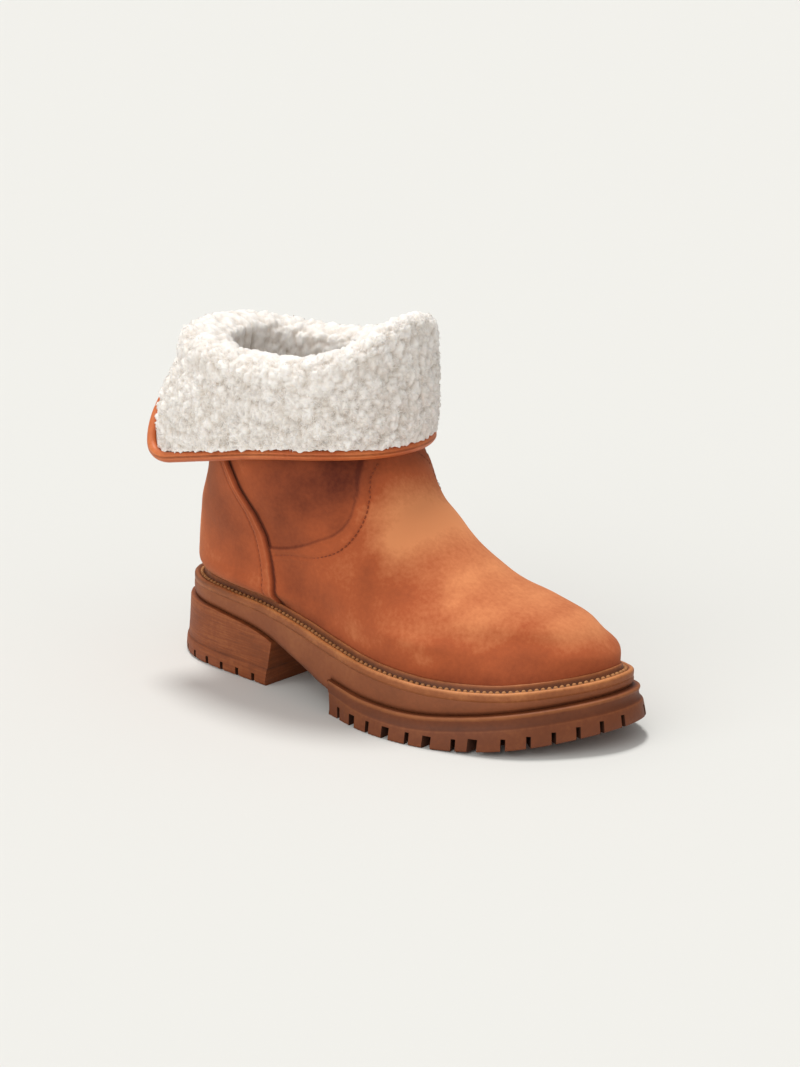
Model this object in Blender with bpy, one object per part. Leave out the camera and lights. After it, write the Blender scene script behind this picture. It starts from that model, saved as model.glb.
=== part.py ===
import math

import bpy
import numpy as np

for old in list(bpy.data.objects):
    bpy.data.objects.remove(old, do_unlink=True)

# Driving sizes in metres. +X runs to the toe, +Y to the inner side of the foot, and the floor is z = 0.
SOLE_LENGTH = 0.272
BALL_WIDTH = 0.105
HEEL_HEIGHT = 0.044
FOREPART_HEIGHT = 0.0285
TOE_SPRING = 0.0115
INSTEP_HEIGHT = 0.108
ANKLE_HEIGHT = 0.112
BOOT_HEIGHT = 0.205
UPPER_WALL = 0.0024
GUSSET_STEP = 0.0009
QUARTER_THICKNESS = 0.0014
INSOLE_THICKNESS = 0.0045
WELT_WIDTH = 0.0067
WELT_THICKNESS = 0.003
WELT_RIDGE = 0.004
HEEL_LENGTH = 0.088
HEEL_RAKE = 0.006
HEEL_LIFT = 0.0092
FOREPART_START = 0.136
FLANGE_HEIGHT = 0.0064
OUTSOLE_FLARE = 0.0056
LUG_PITCH = 0.0128
LUG_DEPTH = 0.0065
LUG_GAP = 0.002
LUG_CHANNEL = 0.0045
CUFF_THICKNESS = 0.0078
FLEECE_CREST = 0.0095
FLEECE_LUMP = 0.0022
CUFF_STANDOFF = 0.0046
FLAP_FLARE = 0.021
FLAP_CORNER = 0.012
EDGE_FADE = 0.026
CUFF_LIP = 0.014
BINDING_WIDTH = 0.0055
BINDING_THICKNESS = 0.0056
GAP = 0.0003

# Points round each ring: heel, waist and forepart on each side.
ZONES = (10, 5, 15)
HALF_COUNT = sum(ZONES)
COUNT = 2 * HALF_COUNT
HEEL_INDEX = ZONES[0]
FOREPART_INDEX = ZONES[0] + ZONES[1]
CUFF_COLUMNS = 48

# The sole from back to toe. at: share of the sole length. half and lean: half width, and the centre line's
# shift to the inner side, in shares of the ball width. rise: share of the heel lift left at the top edge.
# body: share of the forepart height. under: the midsole's underside, and lip: the top of the outsole's
# flange, both in shares of the depth between tread and welt. flare: share of the sole's flare at the tread.
SOLE = (
    dict(at=0.00, flare=1.00, half=0.440, lean=0.000, rise=1.00, body=1.000, under=0.757, lip=0.55),
    dict(at=0.08, flare=1.00, half=0.430, lean=0.000, rise=1.00, body=1.000, under=0.752, lip=0.55),
    dict(at=0.16, flare=0.90, half=0.392, lean=-0.004, rise=0.98, body=1.000, under=0.740, lip=0.55),
    dict(at=0.28, flare=0.70, half=0.356, lean=-0.016, rise=0.88, body=1.000, under=0.672, lip=0.55),
    dict(at=0.40, flare=0.00, half=0.368, lean=-0.040, rise=0.66, body=1.000, under=0.500, lip=0.55),
    dict(at=0.50, flare=-0.45, half=0.414, lean=-0.050, rise=0.44, body=1.000, under=0.350, lip=0.545),
    dict(at=0.60, flare=0.55, half=0.472, lean=-0.038, rise=0.23, body=1.000, under=0.370, lip=0.51),
    dict(at=0.70, flare=1.05, half=0.520, lean=0.002, rise=0.07, body=1.000, under=0.420, lip=0.52),
    dict(at=0.80, flare=1.05, half=0.548, lean=0.050, rise=0.00, body=1.000, under=0.440, lip=0.605),
    dict(at=0.90, flare=1.20, half=0.550, lean=0.104, rise=0.00, body=0.930, under=0.470, lip=0.68),
    dict(at=1.00, flare=1.50, half=0.475, lean=0.214, rise=0.00, body=0.825, under=0.510, lip=0.695),
)
SOLE_END_POWER = 2.3
FLAT_SHARE = 0.735

# The upper's tilted rings, from just above the welt to the collar. back and front: where the ring meets the
# back and front lines, in shares of the sole length. back_up: 0 at the welt, 1 at the ankle, 2 at the collar.
# front_up: 0 at the welt, 1 at the instep, 2 at the collar. heel, waist, ball and toe: half widths at fixed
# shares along the ring, and lean and tip: the centre line's shift at the ball and front, in ball widths.
UPPER = (
    dict(
        back=0.0220, back_up=0.12, front=0.9710, front_up=0.092,
        heel=0.415, waist=0.350, ball=0.468, toe=0.454, lean=0.010, tip=0.202,
    ),
    dict(
        back=0.0202, back_up=0.24, front=0.9490, front_up=0.192,
        heel=0.400, waist=0.355, ball=0.440, toe=0.438, lean=0.014, tip=0.182,
    ),
    dict(
        back=0.0228, back_up=0.38, front=0.9215, front_up=0.284,
        heel=0.395, waist=0.358, ball=0.405, toe=0.406, lean=0.018, tip=0.158,
    ),
    dict(
        back=0.0287, back_up=0.53, front=0.8730, front_up=0.350,
        heel=0.400, waist=0.362, ball=0.375, toe=0.372, lean=0.024, tip=0.134,
    ),
    dict(
        back=0.0368, back_up=0.69, front=0.8045, front_up=0.420,
        heel=0.412, waist=0.372, ball=0.360, toe=0.355, lean=0.024, tip=0.108,
    ),
    dict(
        back=0.0530, back_up=0.85, front=0.7340, front_up=0.525,
        heel=0.426, waist=0.392, ball=0.352, toe=0.352, lean=0.024, tip=0.088,
    ),
    dict(
        back=0.0675, back_up=1.00, front=0.6680, front_up=0.667,
        heel=0.438, waist=0.420, ball=0.362, toe=0.350, lean=0.026, tip=0.072,
    ),
    dict(
        back=0.0775, back_up=1.14, front=0.6060, front_up=0.834,
        heel=0.448, waist=0.442, ball=0.392, toe=0.368, lean=0.028, tip=0.060,
    ),
    dict(
        back=0.0810, back_up=1.30, front=0.5590, front_up=1.000,
        heel=0.458, waist=0.456, ball=0.428, toe=0.405, lean=0.028, tip=0.050,
    ),
    dict(
        back=0.0805, back_up=1.46, front=0.5250, front_up=1.160,
        heel=0.460, waist=0.462, ball=0.448, toe=0.435, lean=0.026, tip=0.040,
    ),
    dict(
        back=0.0790, back_up=1.63, front=0.5040, front_up=1.330,
        heel=0.456, waist=0.458, ball=0.452, toe=0.446, lean=0.022, tip=0.030,
    ),
    dict(
        back=0.0775, back_up=2.00, front=0.4930, front_up=2.000,
        heel=0.452, waist=0.452, ball=0.452, toe=0.452, lean=0.018, tip=0.020,
    ),
)
WIDTH_AT = dict(heel=0.15, waist=0.42, ball=0.72, toe=0.90)
LEAN_AT = dict(lean=0.72, tip=1.0)
UPPER_END_POWER = 2.35

# The cuff from the back centre round the outer side. round: share of the way round. crest: the fleece's top,
# in shares of the boot height. hem: the binding's lower edge, in shares of the way from instep to boot top.
# aft and aside: how far the flap goes back and sideways, in shares of its flare. stand and pile: shares of
# stand-off and thickness.
CUFF = (
    dict(round=0.00, crest=0.930, hem=0.062, aft=0.78, aside=1.02, stand=1.00, pile=1.20),
    dict(round=0.06, crest=0.928, hem=0.064, aft=0.76, aside=0.99, stand=1.00, pile=1.20),
    dict(round=0.10, crest=0.924, hem=0.074, aft=0.68, aside=0.84, stand=1.00, pile=1.16),
    dict(round=0.15, crest=0.912, hem=0.119, aft=0.32, aside=0.38, stand=1.00, pile=1.10),
    dict(round=0.21, crest=0.900, hem=0.176, aft=0.03, aside=0.08, stand=1.00, pile=1.00),
    dict(round=0.28, crest=0.896, hem=0.222, aft=0.00, aside=0.00, stand=0.92, pile=1.00),
    dict(round=0.35, crest=0.904, hem=0.250, aft=0.00, aside=0.00, stand=0.96, pile=0.92),
    dict(round=0.41, crest=0.930, hem=0.256, aft=0.00, aside=0.00, stand=1.04, pile=0.80),
    dict(round=0.46, crest=0.972, hem=0.250, aft=0.00, aside=0.00, stand=1.04, pile=0.68),
    dict(round=0.51, crest=0.990, hem=0.246, aft=0.00, aside=0.00, stand=1.04, pile=0.62),
    dict(round=0.58, crest=0.981, hem=0.246, aft=0.00, aside=0.00, stand=1.04, pile=0.66),
    dict(round=0.66, crest=0.943, hem=0.246, aft=0.00, aside=0.00, stand=0.98, pile=0.85),
    dict(round=0.74, crest=0.903, hem=0.222, aft=0.00, aside=0.00, stand=0.92, pile=1.00),
    dict(round=0.79, crest=0.888, hem=0.176, aft=0.03, aside=0.08, stand=1.00, pile=1.00),
    dict(round=0.85, crest=0.889, hem=0.119, aft=0.32, aside=0.38, stand=1.00, pile=1.10),
    dict(round=0.90, crest=0.902, hem=0.074, aft=0.68, aside=0.84, stand=1.00, pile=1.16),
    dict(round=0.94, crest=0.917, hem=0.064, aft=0.76, aside=0.99, stand=1.00, pile=1.20),
    dict(round=1.00, crest=0.930, hem=0.062, aft=0.78, aside=1.02, stand=1.00, pile=1.20),
)
SLIT_CREST_SHARE = 0.003
SLIT_HEM_SHARE = 0.100
BINDING_TOP_SHARE = 0.9
EDGE_PILE_SHARE = 0.32

# The back quarter's front edge and the gusset's outline seen from the side. up: share of the height from welt
# to boot top, along: share of the sole length.
QUARTER_EDGE = (
    dict(up=0.00, along=0.316),
    dict(up=0.09, along=0.312),
    dict(up=0.18, along=0.305),
    dict(up=0.25, along=0.297),
    dict(up=0.32, along=0.278),
    dict(up=0.40, along=0.241),
    dict(up=0.48, along=0.217),
    dict(up=0.60, along=0.200),
    dict(up=0.75, along=0.188),
)
GUSSET_EDGE = (
    dict(up=0.75, along=0.178),
    dict(up=0.48, along=0.206),
    dict(up=0.40, along=0.229),
    dict(up=0.32, along=0.266),
    dict(up=0.25, along=0.286),
    dict(up=0.205, along=0.292),
    dict(up=0.222, along=0.350),
    dict(up=0.246, along=0.394),
    dict(up=0.274, along=0.431),
    dict(up=0.300, along=0.463),
    dict(up=0.324, along=0.479),
    dict(up=0.358, along=0.490),
    dict(up=0.410, along=0.494),
    dict(up=0.520, along=0.487),
    dict(up=0.75, along=0.482),
)


def smooth(rows, key, at, along="at"):
    """A smooth curve through one column of a table."""
    xs = np.array([row[along] for row in rows])
    ys = np.array([row[key] for row in rows])
    return smooth_through(xs, ys, at)


def smooth_through(xs, ys, at):
    slopes = np.gradient(ys, xs)
    x = np.clip(at, xs[0], xs[-1])
    i = np.clip(np.searchsorted(xs, x, side="right") - 1, 0, len(xs) - 2)
    h = xs[i + 1] - xs[i]
    u = (x - xs[i]) / h
    rising = ys[i] * (1 + 2 * u) * (1 - u) ** 2 + ys[i + 1] * u * u * (3 - 2 * u)
    return rising + h * u * (1 - u) * (slopes[i] * (1 - u) - slopes[i + 1] * u)


def end_shape(share, power):
    return np.maximum(1 - np.abs(2 * share - 1) ** power, 0) ** (1 / power)


def closed_normals(points):
    along = np.roll(points, -1, axis=0) - np.roll(points, 1, axis=0)
    along /= np.linalg.norm(along, axis=1)[:, None]
    return np.c_[along[:, 1], -along[:, 0]]


# The sole's plan and heights.


def dense_outline(count=360):
    share = (1 - np.cos(np.linspace(0, math.pi, count + 1))) / 2
    lean = smooth(SOLE, "lean", share) * BALL_WIDTH
    half = smooth(SOLE, "half", share) * end_shape(share, SOLE_END_POWER) * BALL_WIDTH
    outer = np.c_[share * SOLE_LENGTH, lean - half]
    inner = np.c_[share * SOLE_LENGTH, lean + half]
    return np.r_[outer, inner[-2:0:-1]], count


def at_breaks(curve):
    """Station places along one side's curve: evenly spaced within heel, waist and forepart."""
    lengths = np.r_[0, np.cumsum(np.linalg.norm(np.diff(curve, axis=0), axis=1))]
    breaks = [0.0]
    for x in (HEEL_LENGTH, FOREPART_START):
        breaks.append(np.interp(x, curve[:, 0], lengths))
    breaks.append(lengths[-1])
    stations = [breaks[0]]
    for k, segments in enumerate(ZONES):
        stations += list(np.linspace(breaks[k], breaks[k + 1], segments + 1)[1:])
    return np.array(stations), lengths


def sole_stations():
    outline, toe = dense_outline()
    normals = closed_normals(outline)
    sides = []
    for part in (np.arange(0, toe + 1), np.r_[0, np.arange(len(outline) - 1, toe - 1, -1)]):
        stations, lengths = at_breaks(outline[part])
        points = [np.interp(stations, lengths, outline[part, axis]) for axis in (0, 1)]
        facing = [np.interp(stations, lengths, normals[part, axis]) for axis in (0, 1)]
        sides.append((np.array(points).T, np.array(facing).T, stations / lengths[-1]))
    (outer, outer_facing, outer_share), (inner, inner_facing, inner_share) = sides
    points = np.r_[outer, inner[-2:0:-1]]
    facing = np.r_[outer_facing, inner_facing[-2:0:-1]]
    facing /= np.linalg.norm(facing, axis=1)[:, None]
    return points, facing, outer_share, inner_share


PLAN, FACING, OUTER_SHARE, INNER_SHARE = sole_stations()


def spring(x):
    share = np.clip((x / SOLE_LENGTH - FLAT_SHARE) / (1 - FLAT_SHARE), 0, None)
    return TOE_SPRING * share**2


def welt_edge(x):
    share = x / SOLE_LENGTH
    lifted = (HEEL_HEIGHT - FOREPART_HEIGHT) * smooth(SOLE, "rise", share)
    return np.minimum(spring(x), TOE_SPRING) + FOREPART_HEIGHT * smooth(SOLE, "body", share) + lifted


def between(x, key):
    floor = np.minimum(spring(x), TOE_SPRING)
    return floor + (welt_edge(x) - floor) * smooth(SOLE, key, x / SOLE_LENGTH)


def midsole_top(x):
    return welt_edge(x) - WELT_THICKNESS


def midsole_under(x):
    return between(x, "under")


def flange_top(x):
    return between(x, "lip")


def flared(chosen):
    return smooth(SOLE, "flare", PLAN[chosen, 0] / SOLE_LENGTH)


def sole_ring(out, height, chosen=None):
    """One ring round the sole: out beyond the welt's line, at a height or a height function of x."""
    chosen = np.arange(COUNT) if chosen is None else chosen
    places = PLAN[chosen] + np.reshape(out, (-1, 1)) * FACING[chosen]
    z = height(PLAN[chosen, 0]) if callable(height) else np.full(len(chosen), height)
    return np.c_[places, z]


# Meshes.


def add_material(name, colour, roughness, metallic=0.0):
    material = bpy.data.materials.new(name)
    material.use_nodes = True
    shader = material.node_tree.nodes["Principled BSDF"]
    shader.inputs["Base Color"].default_value = (*colour, 1)
    shader.inputs["Roughness"].default_value = roughness
    shader.inputs["Metallic"].default_value = metallic
    return material


def make_object(name, points, faces, material=None):
    mesh = bpy.data.meshes.new(name)
    mesh.from_pydata([tuple(p) for p in points], [], faces)
    mesh.validate()
    obj = bpy.data.objects.new(name, mesh)
    bpy.context.scene.collection.objects.link(obj)
    if material:
        mesh.materials.append(material)
    return obj


def strip(first, second, closed=True):
    """Triangles between two rings of point numbers, always split the same way."""
    faces = []
    last = len(first) if closed else len(first) - 1
    for i in range(last):
        j = (i + 1) % len(first)
        faces.append((first[i], first[j], second[j]))
        faces.append((first[i], second[j], second[i]))
    return faces


def ladder(ring, upward=True):
    """Fills a ring with rungs from each side's point to the other side's."""
    count = len(ring)
    faces = []
    low, high = 0, count - 1
    while high - low >= 2:
        faces.append((ring[low], ring[low + 1], ring[high]))
        low += 1
        if high - low >= 2:
            faces.append((ring[low], ring[high - 1], ring[high]))
            high -= 1
    return faces if upward else [face[::-1] for face in faces]


def numbered(rings):
    points = np.concatenate(rings)
    starts = np.cumsum([0] + [len(ring) for ring in rings[:-1]])
    return points, [list(range(start, start + len(ring))) for start, ring in zip(starts, rings)]


def stacked(name, rings, material=None):
    """A closed solid from rings listed from bottom to top, filled at both ends."""
    points, ids = numbered(rings)
    faces = ladder(ids[0], upward=False) + ladder(ids[-1])
    for low, high in zip(ids, ids[1:]):
        faces += strip(low, high)
    return make_object(name, points, faces, material)


def shell(name, outer, inner, material=None):
    """A wall between two stacks of rings, open at top and bottom."""
    points, ids = numbered(list(outer) + list(inner))
    outside, inside = ids[: len(outer)], ids[len(outer) :]
    faces = strip(inside[0], outside[0]) + strip(outside[-1], inside[-1])
    for low, high in zip(outside, outside[1:]):
        faces += strip(low, high)
    for low, high in zip(inside, inside[1:]):
        faces += strip(high, low)
    return make_object(name, points, faces, material)


def turned_ring(name, section, material=None):
    """A closed loop of section rings, each listed as one ring round the foot."""
    points, ids = numbered(section)
    faces = []
    for first, second in zip(ids, ids[1:] + ids[:1]):
        faces += strip(first, second)
    return make_object(name, points, faces, material)


def combine(target, tool, operation):
    modifier = target.modifiers.new("cut", "BOOLEAN")
    modifier.object = tool
    modifier.operation = operation
    modifier.solver = "EXACT"
    bpy.context.view_layer.update()
    graph = bpy.context.evaluated_depsgraph_get()
    made = bpy.data.meshes.new_from_object(target.evaluated_get(graph))
    target.modifiers.clear()
    spent = target.data
    target.data = made
    made.name = target.name
    bpy.data.meshes.remove(spent)
    bpy.data.objects.remove(tool, do_unlink=True)
    return target


def side_prism(name, outline):
    """A prism right across the boot from an outline in X and Z."""
    reach = BALL_WIDTH
    near = [(x, -reach, z) for x, z in outline]
    far = [(x, reach, z) for x, z in outline]
    count = len(outline)
    area = sum(
        outline[i][0] * outline[(i + 1) % count][1] - outline[(i + 1) % count][0] * outline[i][1]
        for i in range(count)
    )
    faces = [tuple(range(count)), tuple(range(2 * count - 1, count - 1, -1))]
    for i in range(count):
        j = (i + 1) % count
        faces.append((i, i + count, j + count, j))
    if area < 0:
        faces = [face[::-1] for face in faces]
    return make_object(name, near + far, faces)


def box_points(centre, along, across, half_length, half_width, low, high):
    corners = []
    for z in (low, high):
        for a, b in ((-1, -1), (1, -1), (1, 1), (-1, 1)):
            x, y = centre + a * half_length * along + b * half_width * across
            corners.append((x, y, z))
    return corners


BOX_FACES = ((3, 2, 1, 0), (4, 5, 6, 7), (0, 1, 5, 4), (1, 2, 6, 5), (2, 3, 7, 6), (3, 0, 4, 7))


def boxes(name, corner_sets):
    points, faces = [], []
    for corners in corner_sets:
        start = len(points)
        points += corners
        faces += [tuple(start + i for i in face) for face in BOX_FACES]
    return make_object(name, points, faces)


# The cuff's heights, and the upper's own function.


def crest_height(share):
    return BOOT_HEIGHT * smooth(CUFF, "crest", share, "round")


def hem_height(share):
    return INSTEP_HEIGHT + (BOOT_HEIGHT - INSTEP_HEIGHT) * smooth(CUFF, "hem", share, "round")


def collar_height(share):
    return crest_height(share) - FLEECE_CREST


FEATHER = WELT_WIDTH + GAP
RING_SHARE = np.r_[OUTER_SHARE / 2, 1 - INNER_SHARE[-2:0:-1] / 2]


def back_height(up):
    low = welt_edge(0.0) + WELT_RIDGE
    ankle, collar = ANKLE_HEIGHT, collar_height(0.0)
    return low + (ankle - low) * min(up, 1) + (collar - ankle) * max(up - 1, 0)


def front_height(up):
    low = welt_edge(SOLE_LENGTH) + WELT_RIDGE
    collar = collar_height(0.5)
    return low + (INSTEP_HEIGHT - low) * min(up, 1) + (collar - INSTEP_HEIGHT) * max(up - 1, 0)


def upper_curve(row, count=240):
    """One tilted ring as a fine closed curve from the back round the outer side."""
    share = (1 - np.cos(np.linspace(0, math.pi, count + 1))) / 2
    places = np.array([0.0, *WIDTH_AT.values(), 1.0])
    widths = np.array([row["heel"], row["heel"], row["waist"], row["ball"], row["toe"], row["toe"]])
    half = smooth_through(places, widths, share) * end_shape(share, UPPER_END_POWER) * BALL_WIDTH
    leans = np.array([0.0, 0.0, row["lean"], row["tip"]])
    lean = smooth_through(np.array([0.0, 0.3, *LEAN_AT.values()]), leans, share) * BALL_WIDTH
    x = SOLE_LENGTH * (row["back"] + (row["front"] - row["back"]) * share)
    low, high = back_height(row["back_up"]), front_height(row["front_up"])
    z = low + (high - low) * share
    outer = np.c_[x, lean - half, z]
    inner = np.c_[x, lean + half, z]
    return outer, inner


def evenly(curve, shares):
    lengths = np.r_[0, np.cumsum(np.linalg.norm(np.diff(curve, axis=0), axis=1))]
    return np.c_[tuple(np.interp(shares * lengths[-1], lengths, curve[:, axis]) for axis in range(3))]


def upper_rings():
    base = sole_ring(-FEATHER, midsole_top)
    base[:, 2] += GAP
    ridge = base.copy()
    ridge[:, 2] += WELT_THICKNESS + WELT_RIDGE
    rings = [base, ridge]
    for row in UPPER:
        outer, inner = upper_curve(row)
        rings.append(np.r_[evenly(outer, OUTER_SHARE), evenly(inner, INNER_SHARE)[-2:0:-1]])
    rings[-1][:, 2] = collar_height(RING_SHARE)
    return np.array(rings)


RINGS = upper_rings()


def upward_normals(rings):
    around = np.roll(rings, -1, axis=1) - np.roll(rings, 1, axis=1)
    up = np.gradient(rings, axis=0)
    facing = np.cross(around, up)
    for level in (0, 1, -1):
        facing[level, :, 2] = 0
    return facing / np.linalg.norm(facing, axis=2)[:, :, None]


NORMALS = upward_normals(RINGS)


def upper_form(out):
    """The upper's surface, moved out along its own normals."""
    return RINGS + out * NORMALS


# Materials.
SUEDE = add_material("tan suede", (0.392, 0.089, 0.030), 0.86)
SUEDE_QUARTER = add_material("tan suede of the quarter", (0.392, 0.089, 0.030), 0.86)
LEATHER = add_material("tan leather binding", (0.515, 0.115, 0.026), 0.5)
FLEECE = add_material("cream fleece", (0.76, 0.716, 0.658), 0.95)
WELT_RUBBER = add_material("light brown welt", (0.337, 0.187, 0.072), 0.55)
MIDSOLE_RUBBER = add_material("brown midsole", (0.302, 0.123, 0.042), 0.6)
OUTSOLE_RUBBER = add_material("brown outsole rubber", (0.262, 0.082, 0.022), 0.6)
HEEL_RUBBER = add_material("brown heel block", (0.262, 0.088, 0.026), 0.6)
INSOLE_FLEECE = add_material("cream insole", (0.7, 0.66, 0.6), 0.95)


# The upper, with the gusset as a step in its wall.


def along_x(share):
    return share * SOLE_LENGTH


def up_z(share):
    return HEEL_HEIGHT + share * (BOOT_HEIGHT - HEEL_HEIGHT)


upper = shell("upper", upper_form(0.0), upper_form(-UPPER_WALL), SUEDE)
gusset_outline = [(along_x(row["along"]), up_z(row["up"])) for row in GUSSET_EDGE]
gusset_tool = side_prism("gusset tool", gusset_outline)
gusset_tool = combine(gusset_tool, stacked("gusset form", upper_form(-GUSSET_STEP)), "DIFFERENCE")
upper = combine(upper, gusset_tool, "DIFFERENCE")

# The back quarter, cut between two forms of the upper.
quarter_foot = np.linspace(-0.2, QUARTER_EDGE[0]["along"], 14)
quarter_outline = [
    (along_x(share), welt_edge(max(along_x(share), 0.0)) + WELT_RIDGE + 2 * GAP)
    for share in quarter_foot
]
for row in QUARTER_EDGE[1:]:
    quarter_outline.append((along_x(row["along"]), up_z(row["up"])))
quarter_outline.append((along_x(quarter_foot[0]), up_z(QUARTER_EDGE[-1]["up"])))
quarter = stacked("back_quarter", upper_form(GAP + QUARTER_THICKNESS), SUEDE_QUARTER)
quarter = combine(quarter, side_prism("quarter tool", quarter_outline), "INTERSECT")
quarter = combine(quarter, stacked("quarter form", upper_form(GAP)), "DIFFERENCE")


# The welt: a strip with a ridge against the upper, a stitch groove and a rounded rim.
# out: shares of the welt's width inside its outer edge. up: shares of its ridge above the outer edge.
WELT = (
    dict(out=1.00, up=1.00),
    dict(out=0.79, up=1.00),
    dict(out=0.65, up=0.32),
    dict(out=0.42, up=0.12),
    dict(out=0.18, up=0.24),
    dict(out=-0.03, up=-0.08),
)


def above(function, rise):
    return lambda x: function(x) + rise


welt_section = [sole_ring(-WELT_WIDTH, above(midsole_top, GAP))]
for row in WELT:
    welt_section.append(sole_ring(-WELT_WIDTH * row["out"], above(welt_edge, WELT_RIDGE * row["up"])))
welt_section.append(sole_ring(0.0, above(midsole_top, GAP)))
welt = turned_ring("welt", welt_section[::-1], WELT_RUBBER)

# The insole lies on the midsole inside the upper.
insole_out = -(FEATHER + UPPER_WALL + GAP)
insole = stacked(
    "insole",
    [
        sole_ring(insole_out, above(midsole_top, GAP)),
        sole_ring(insole_out, above(midsole_top, GAP + 0.7 * INSOLE_THICKNESS)),
        sole_ring(insole_out - INSOLE_THICKNESS / 2, above(midsole_top, GAP + INSOLE_THICKNESS)),
    ],
    INSOLE_FLEECE,
)


# The midsole: its side ends in an undercut that shades the joint below.
UNDERCUT = 0.0014


def midsole_foot(x):
    """Where the midsole's visible side ends: just above its underside, or above the outsole's flange."""
    under = midsole_under(x) + UNDERCUT
    return np.where(x > FOREPART_START - 1e-6, np.maximum(flange_top(x) + UNDERCUT, under), under)


def midsole_middle(x):
    return (midsole_foot(x) + midsole_top(x)) / 2


midsole = stacked(
    "midsole",
    [
        sole_ring(-UNDERCUT, midsole_under),
        sole_ring(-UNDERCUT, above(midsole_foot, -0.7 * UNDERCUT)),
        sole_ring(0.2 * UNDERCUT, midsole_foot),
        sole_ring(-0.3 * UNDERCUT, midsole_middle),
        sole_ring(0.0, midsole_top),
    ],
    MIDSOLE_RUBBER,
)

# The heel block, raked at its front, with a lift line and notches.
heel_chain = np.r_[np.arange(COUNT - HEEL_INDEX, COUNT), np.arange(0, HEEL_INDEX + 1)]
HEEL = (
    dict(out=0.48, up=0.00, of_lift=0.0),
    dict(out=0.82, up=0.00, of_lift=0.25),
    dict(out=0.74, up=0.00, of_lift=1.0),
    dict(out=0.58, up=0.00, of_lift=1.08),
    dict(out=0.40, up=0.93, of_lift=1.0),
    dict(out=0.24, up=1.00, of_lift=1.0),
)


def heel_ring(row):
    """up: share of the way from the lift line to the midsole. of_lift: share of the lift's height."""
    top = midsole_under(PLAN[heel_chain, 0]) - GAP
    foot = HEEL_LIFT * row["of_lift"]
    z = foot + (top - foot) * row["up"]
    ring = sole_ring(OUTSOLE_FLARE * row["out"] * flared(heel_chain), 0.0, heel_chain)
    back = ring[:, 0].min()
    drop = 1 - z / HEEL_HEIGHT
    ring[:, 0] = back + (ring[:, 0] - back) * (1 - HEEL_RAKE / HEEL_LENGTH * drop)
    ring[:, 2] = z
    return ring


heel_rings = [heel_ring(row) for row in HEEL]
heel = stacked("heel", heel_rings, HEEL_RUBBER)


def notch_tools(places, depth_of, width_of, height):
    """Upright slots cut in from the side. places: (index along the outline as a float)."""
    sets = []
    for k, place in enumerate(places):
        i = int(math.floor(place))
        part = place - i
        a, b = i % COUNT, (i + 1) % COUNT
        point = PLAN[a] * (1 - part) + PLAN[b] * part
        facing = FACING[a] * (1 - part) + FACING[b] * part
        facing /= np.linalg.norm(facing)
        along = np.array([-facing[1], facing[0]])
        depth = depth_of(k)
        outer = point + facing * (2.5 * OUTSOLE_FLARE)
        length = 2.5 * OUTSOLE_FLARE + depth
        centre = outer - facing * length / 2
        floor = float(spring(point[0]))
        sets.append(
            box_points(centre, facing, along, length / 2, width_of(k) / 2, -height, floor + height)
        )
    return sets


def stations_between(first, last, pitch, offset):
    """Places, as fractional indices, every pitch along the outline from one index to another."""
    chain = np.arange(first, last + 1)
    points = PLAN[chain % COUNT] + OUTSOLE_FLARE * FACING[chain % COUNT]
    lengths = np.r_[0, np.cumsum(np.linalg.norm(np.diff(points, axis=0), axis=1))]
    count = int((lengths[-1] - offset) // pitch) + 1
    marks = offset + pitch * np.arange(count)
    marks = marks[marks < lengths[-1] - 0.5 * pitch]
    return list(np.interp(marks, lengths, chain))


outer_heel = stations_between(0, HEEL_INDEX, LUG_PITCH, 1.6 * LUG_PITCH)
heel_places = outer_heel + [COUNT - place for place in outer_heel]
heel_tools = notch_tools(
    heel_places,
    lambda k: LUG_DEPTH if k % 2 else 0.5 * LUG_DEPTH,
    lambda k: LUG_GAP,
    0.75 * LUG_DEPTH,
)
heel = combine(heel, boxes("heel notches", heel_tools), "DIFFERENCE")

# The forepart outsole: a cup round the midsole with a flange, a lug zone and a flat tread.
OUTSOLE = (
    dict(out=0.82, of="tread", up=0.0),
    dict(out=1.00, of="tread", up=0.16),
    dict(out=0.74, of="flange", up=1.12),
    dict(out=0.60, of="flange", up=1.00),
    dict(out=0.58, of="flange", up=0.24),
    dict(out=0.34, of="flange", up=0.00),
)
fore_chain = np.arange(FOREPART_INDEX, COUNT - FOREPART_INDEX + 1)


def outsole_ring(row):
    flange = OUTSOLE[-1]["out"]
    out = flange + (row["out"] - flange) * flared(fore_chain)
    ring = sole_ring(OUTSOLE_FLARE * out, 0.0, fore_chain)
    if row["of"] == "tread":
        ring[:, 2] = spring(PLAN[fore_chain, 0]) + FLANGE_HEIGHT * row["up"]
    else:
        ring[:, 2] = flange_top(PLAN[fore_chain, 0]) - FLANGE_HEIGHT * row["up"]
    return ring


def make_outsole():
    rings = [outsole_ring(row) for row in OUTSOLE]
    cup = GAP - UNDERCUT
    rings.append(sole_ring(cup, flange_top, fore_chain))
    rings.append(sole_ring(cup, above(midsole_under, -GAP), fore_chain))
    points, ids = numbered(rings)
    faces = ladder(ids[0], upward=False) + ladder(ids[-1])
    for low, high in zip(ids, ids[1:]):
        faces += strip(low, high, closed=False)
    first = [ring[0] for ring in ids]
    last = [ring[-1] for ring in ids]
    faces.append((first[0], first[-1], last[-1]))
    faces.append((first[0], last[-1], last[0]))
    for low in range(len(ids) - 2):
        faces.append((first[-1], first[low], first[low + 1]))
        faces.append((last[-1], last[low + 1], last[low]))
    return make_object("outsole", points, faces, OUTSOLE_RUBBER)


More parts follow.
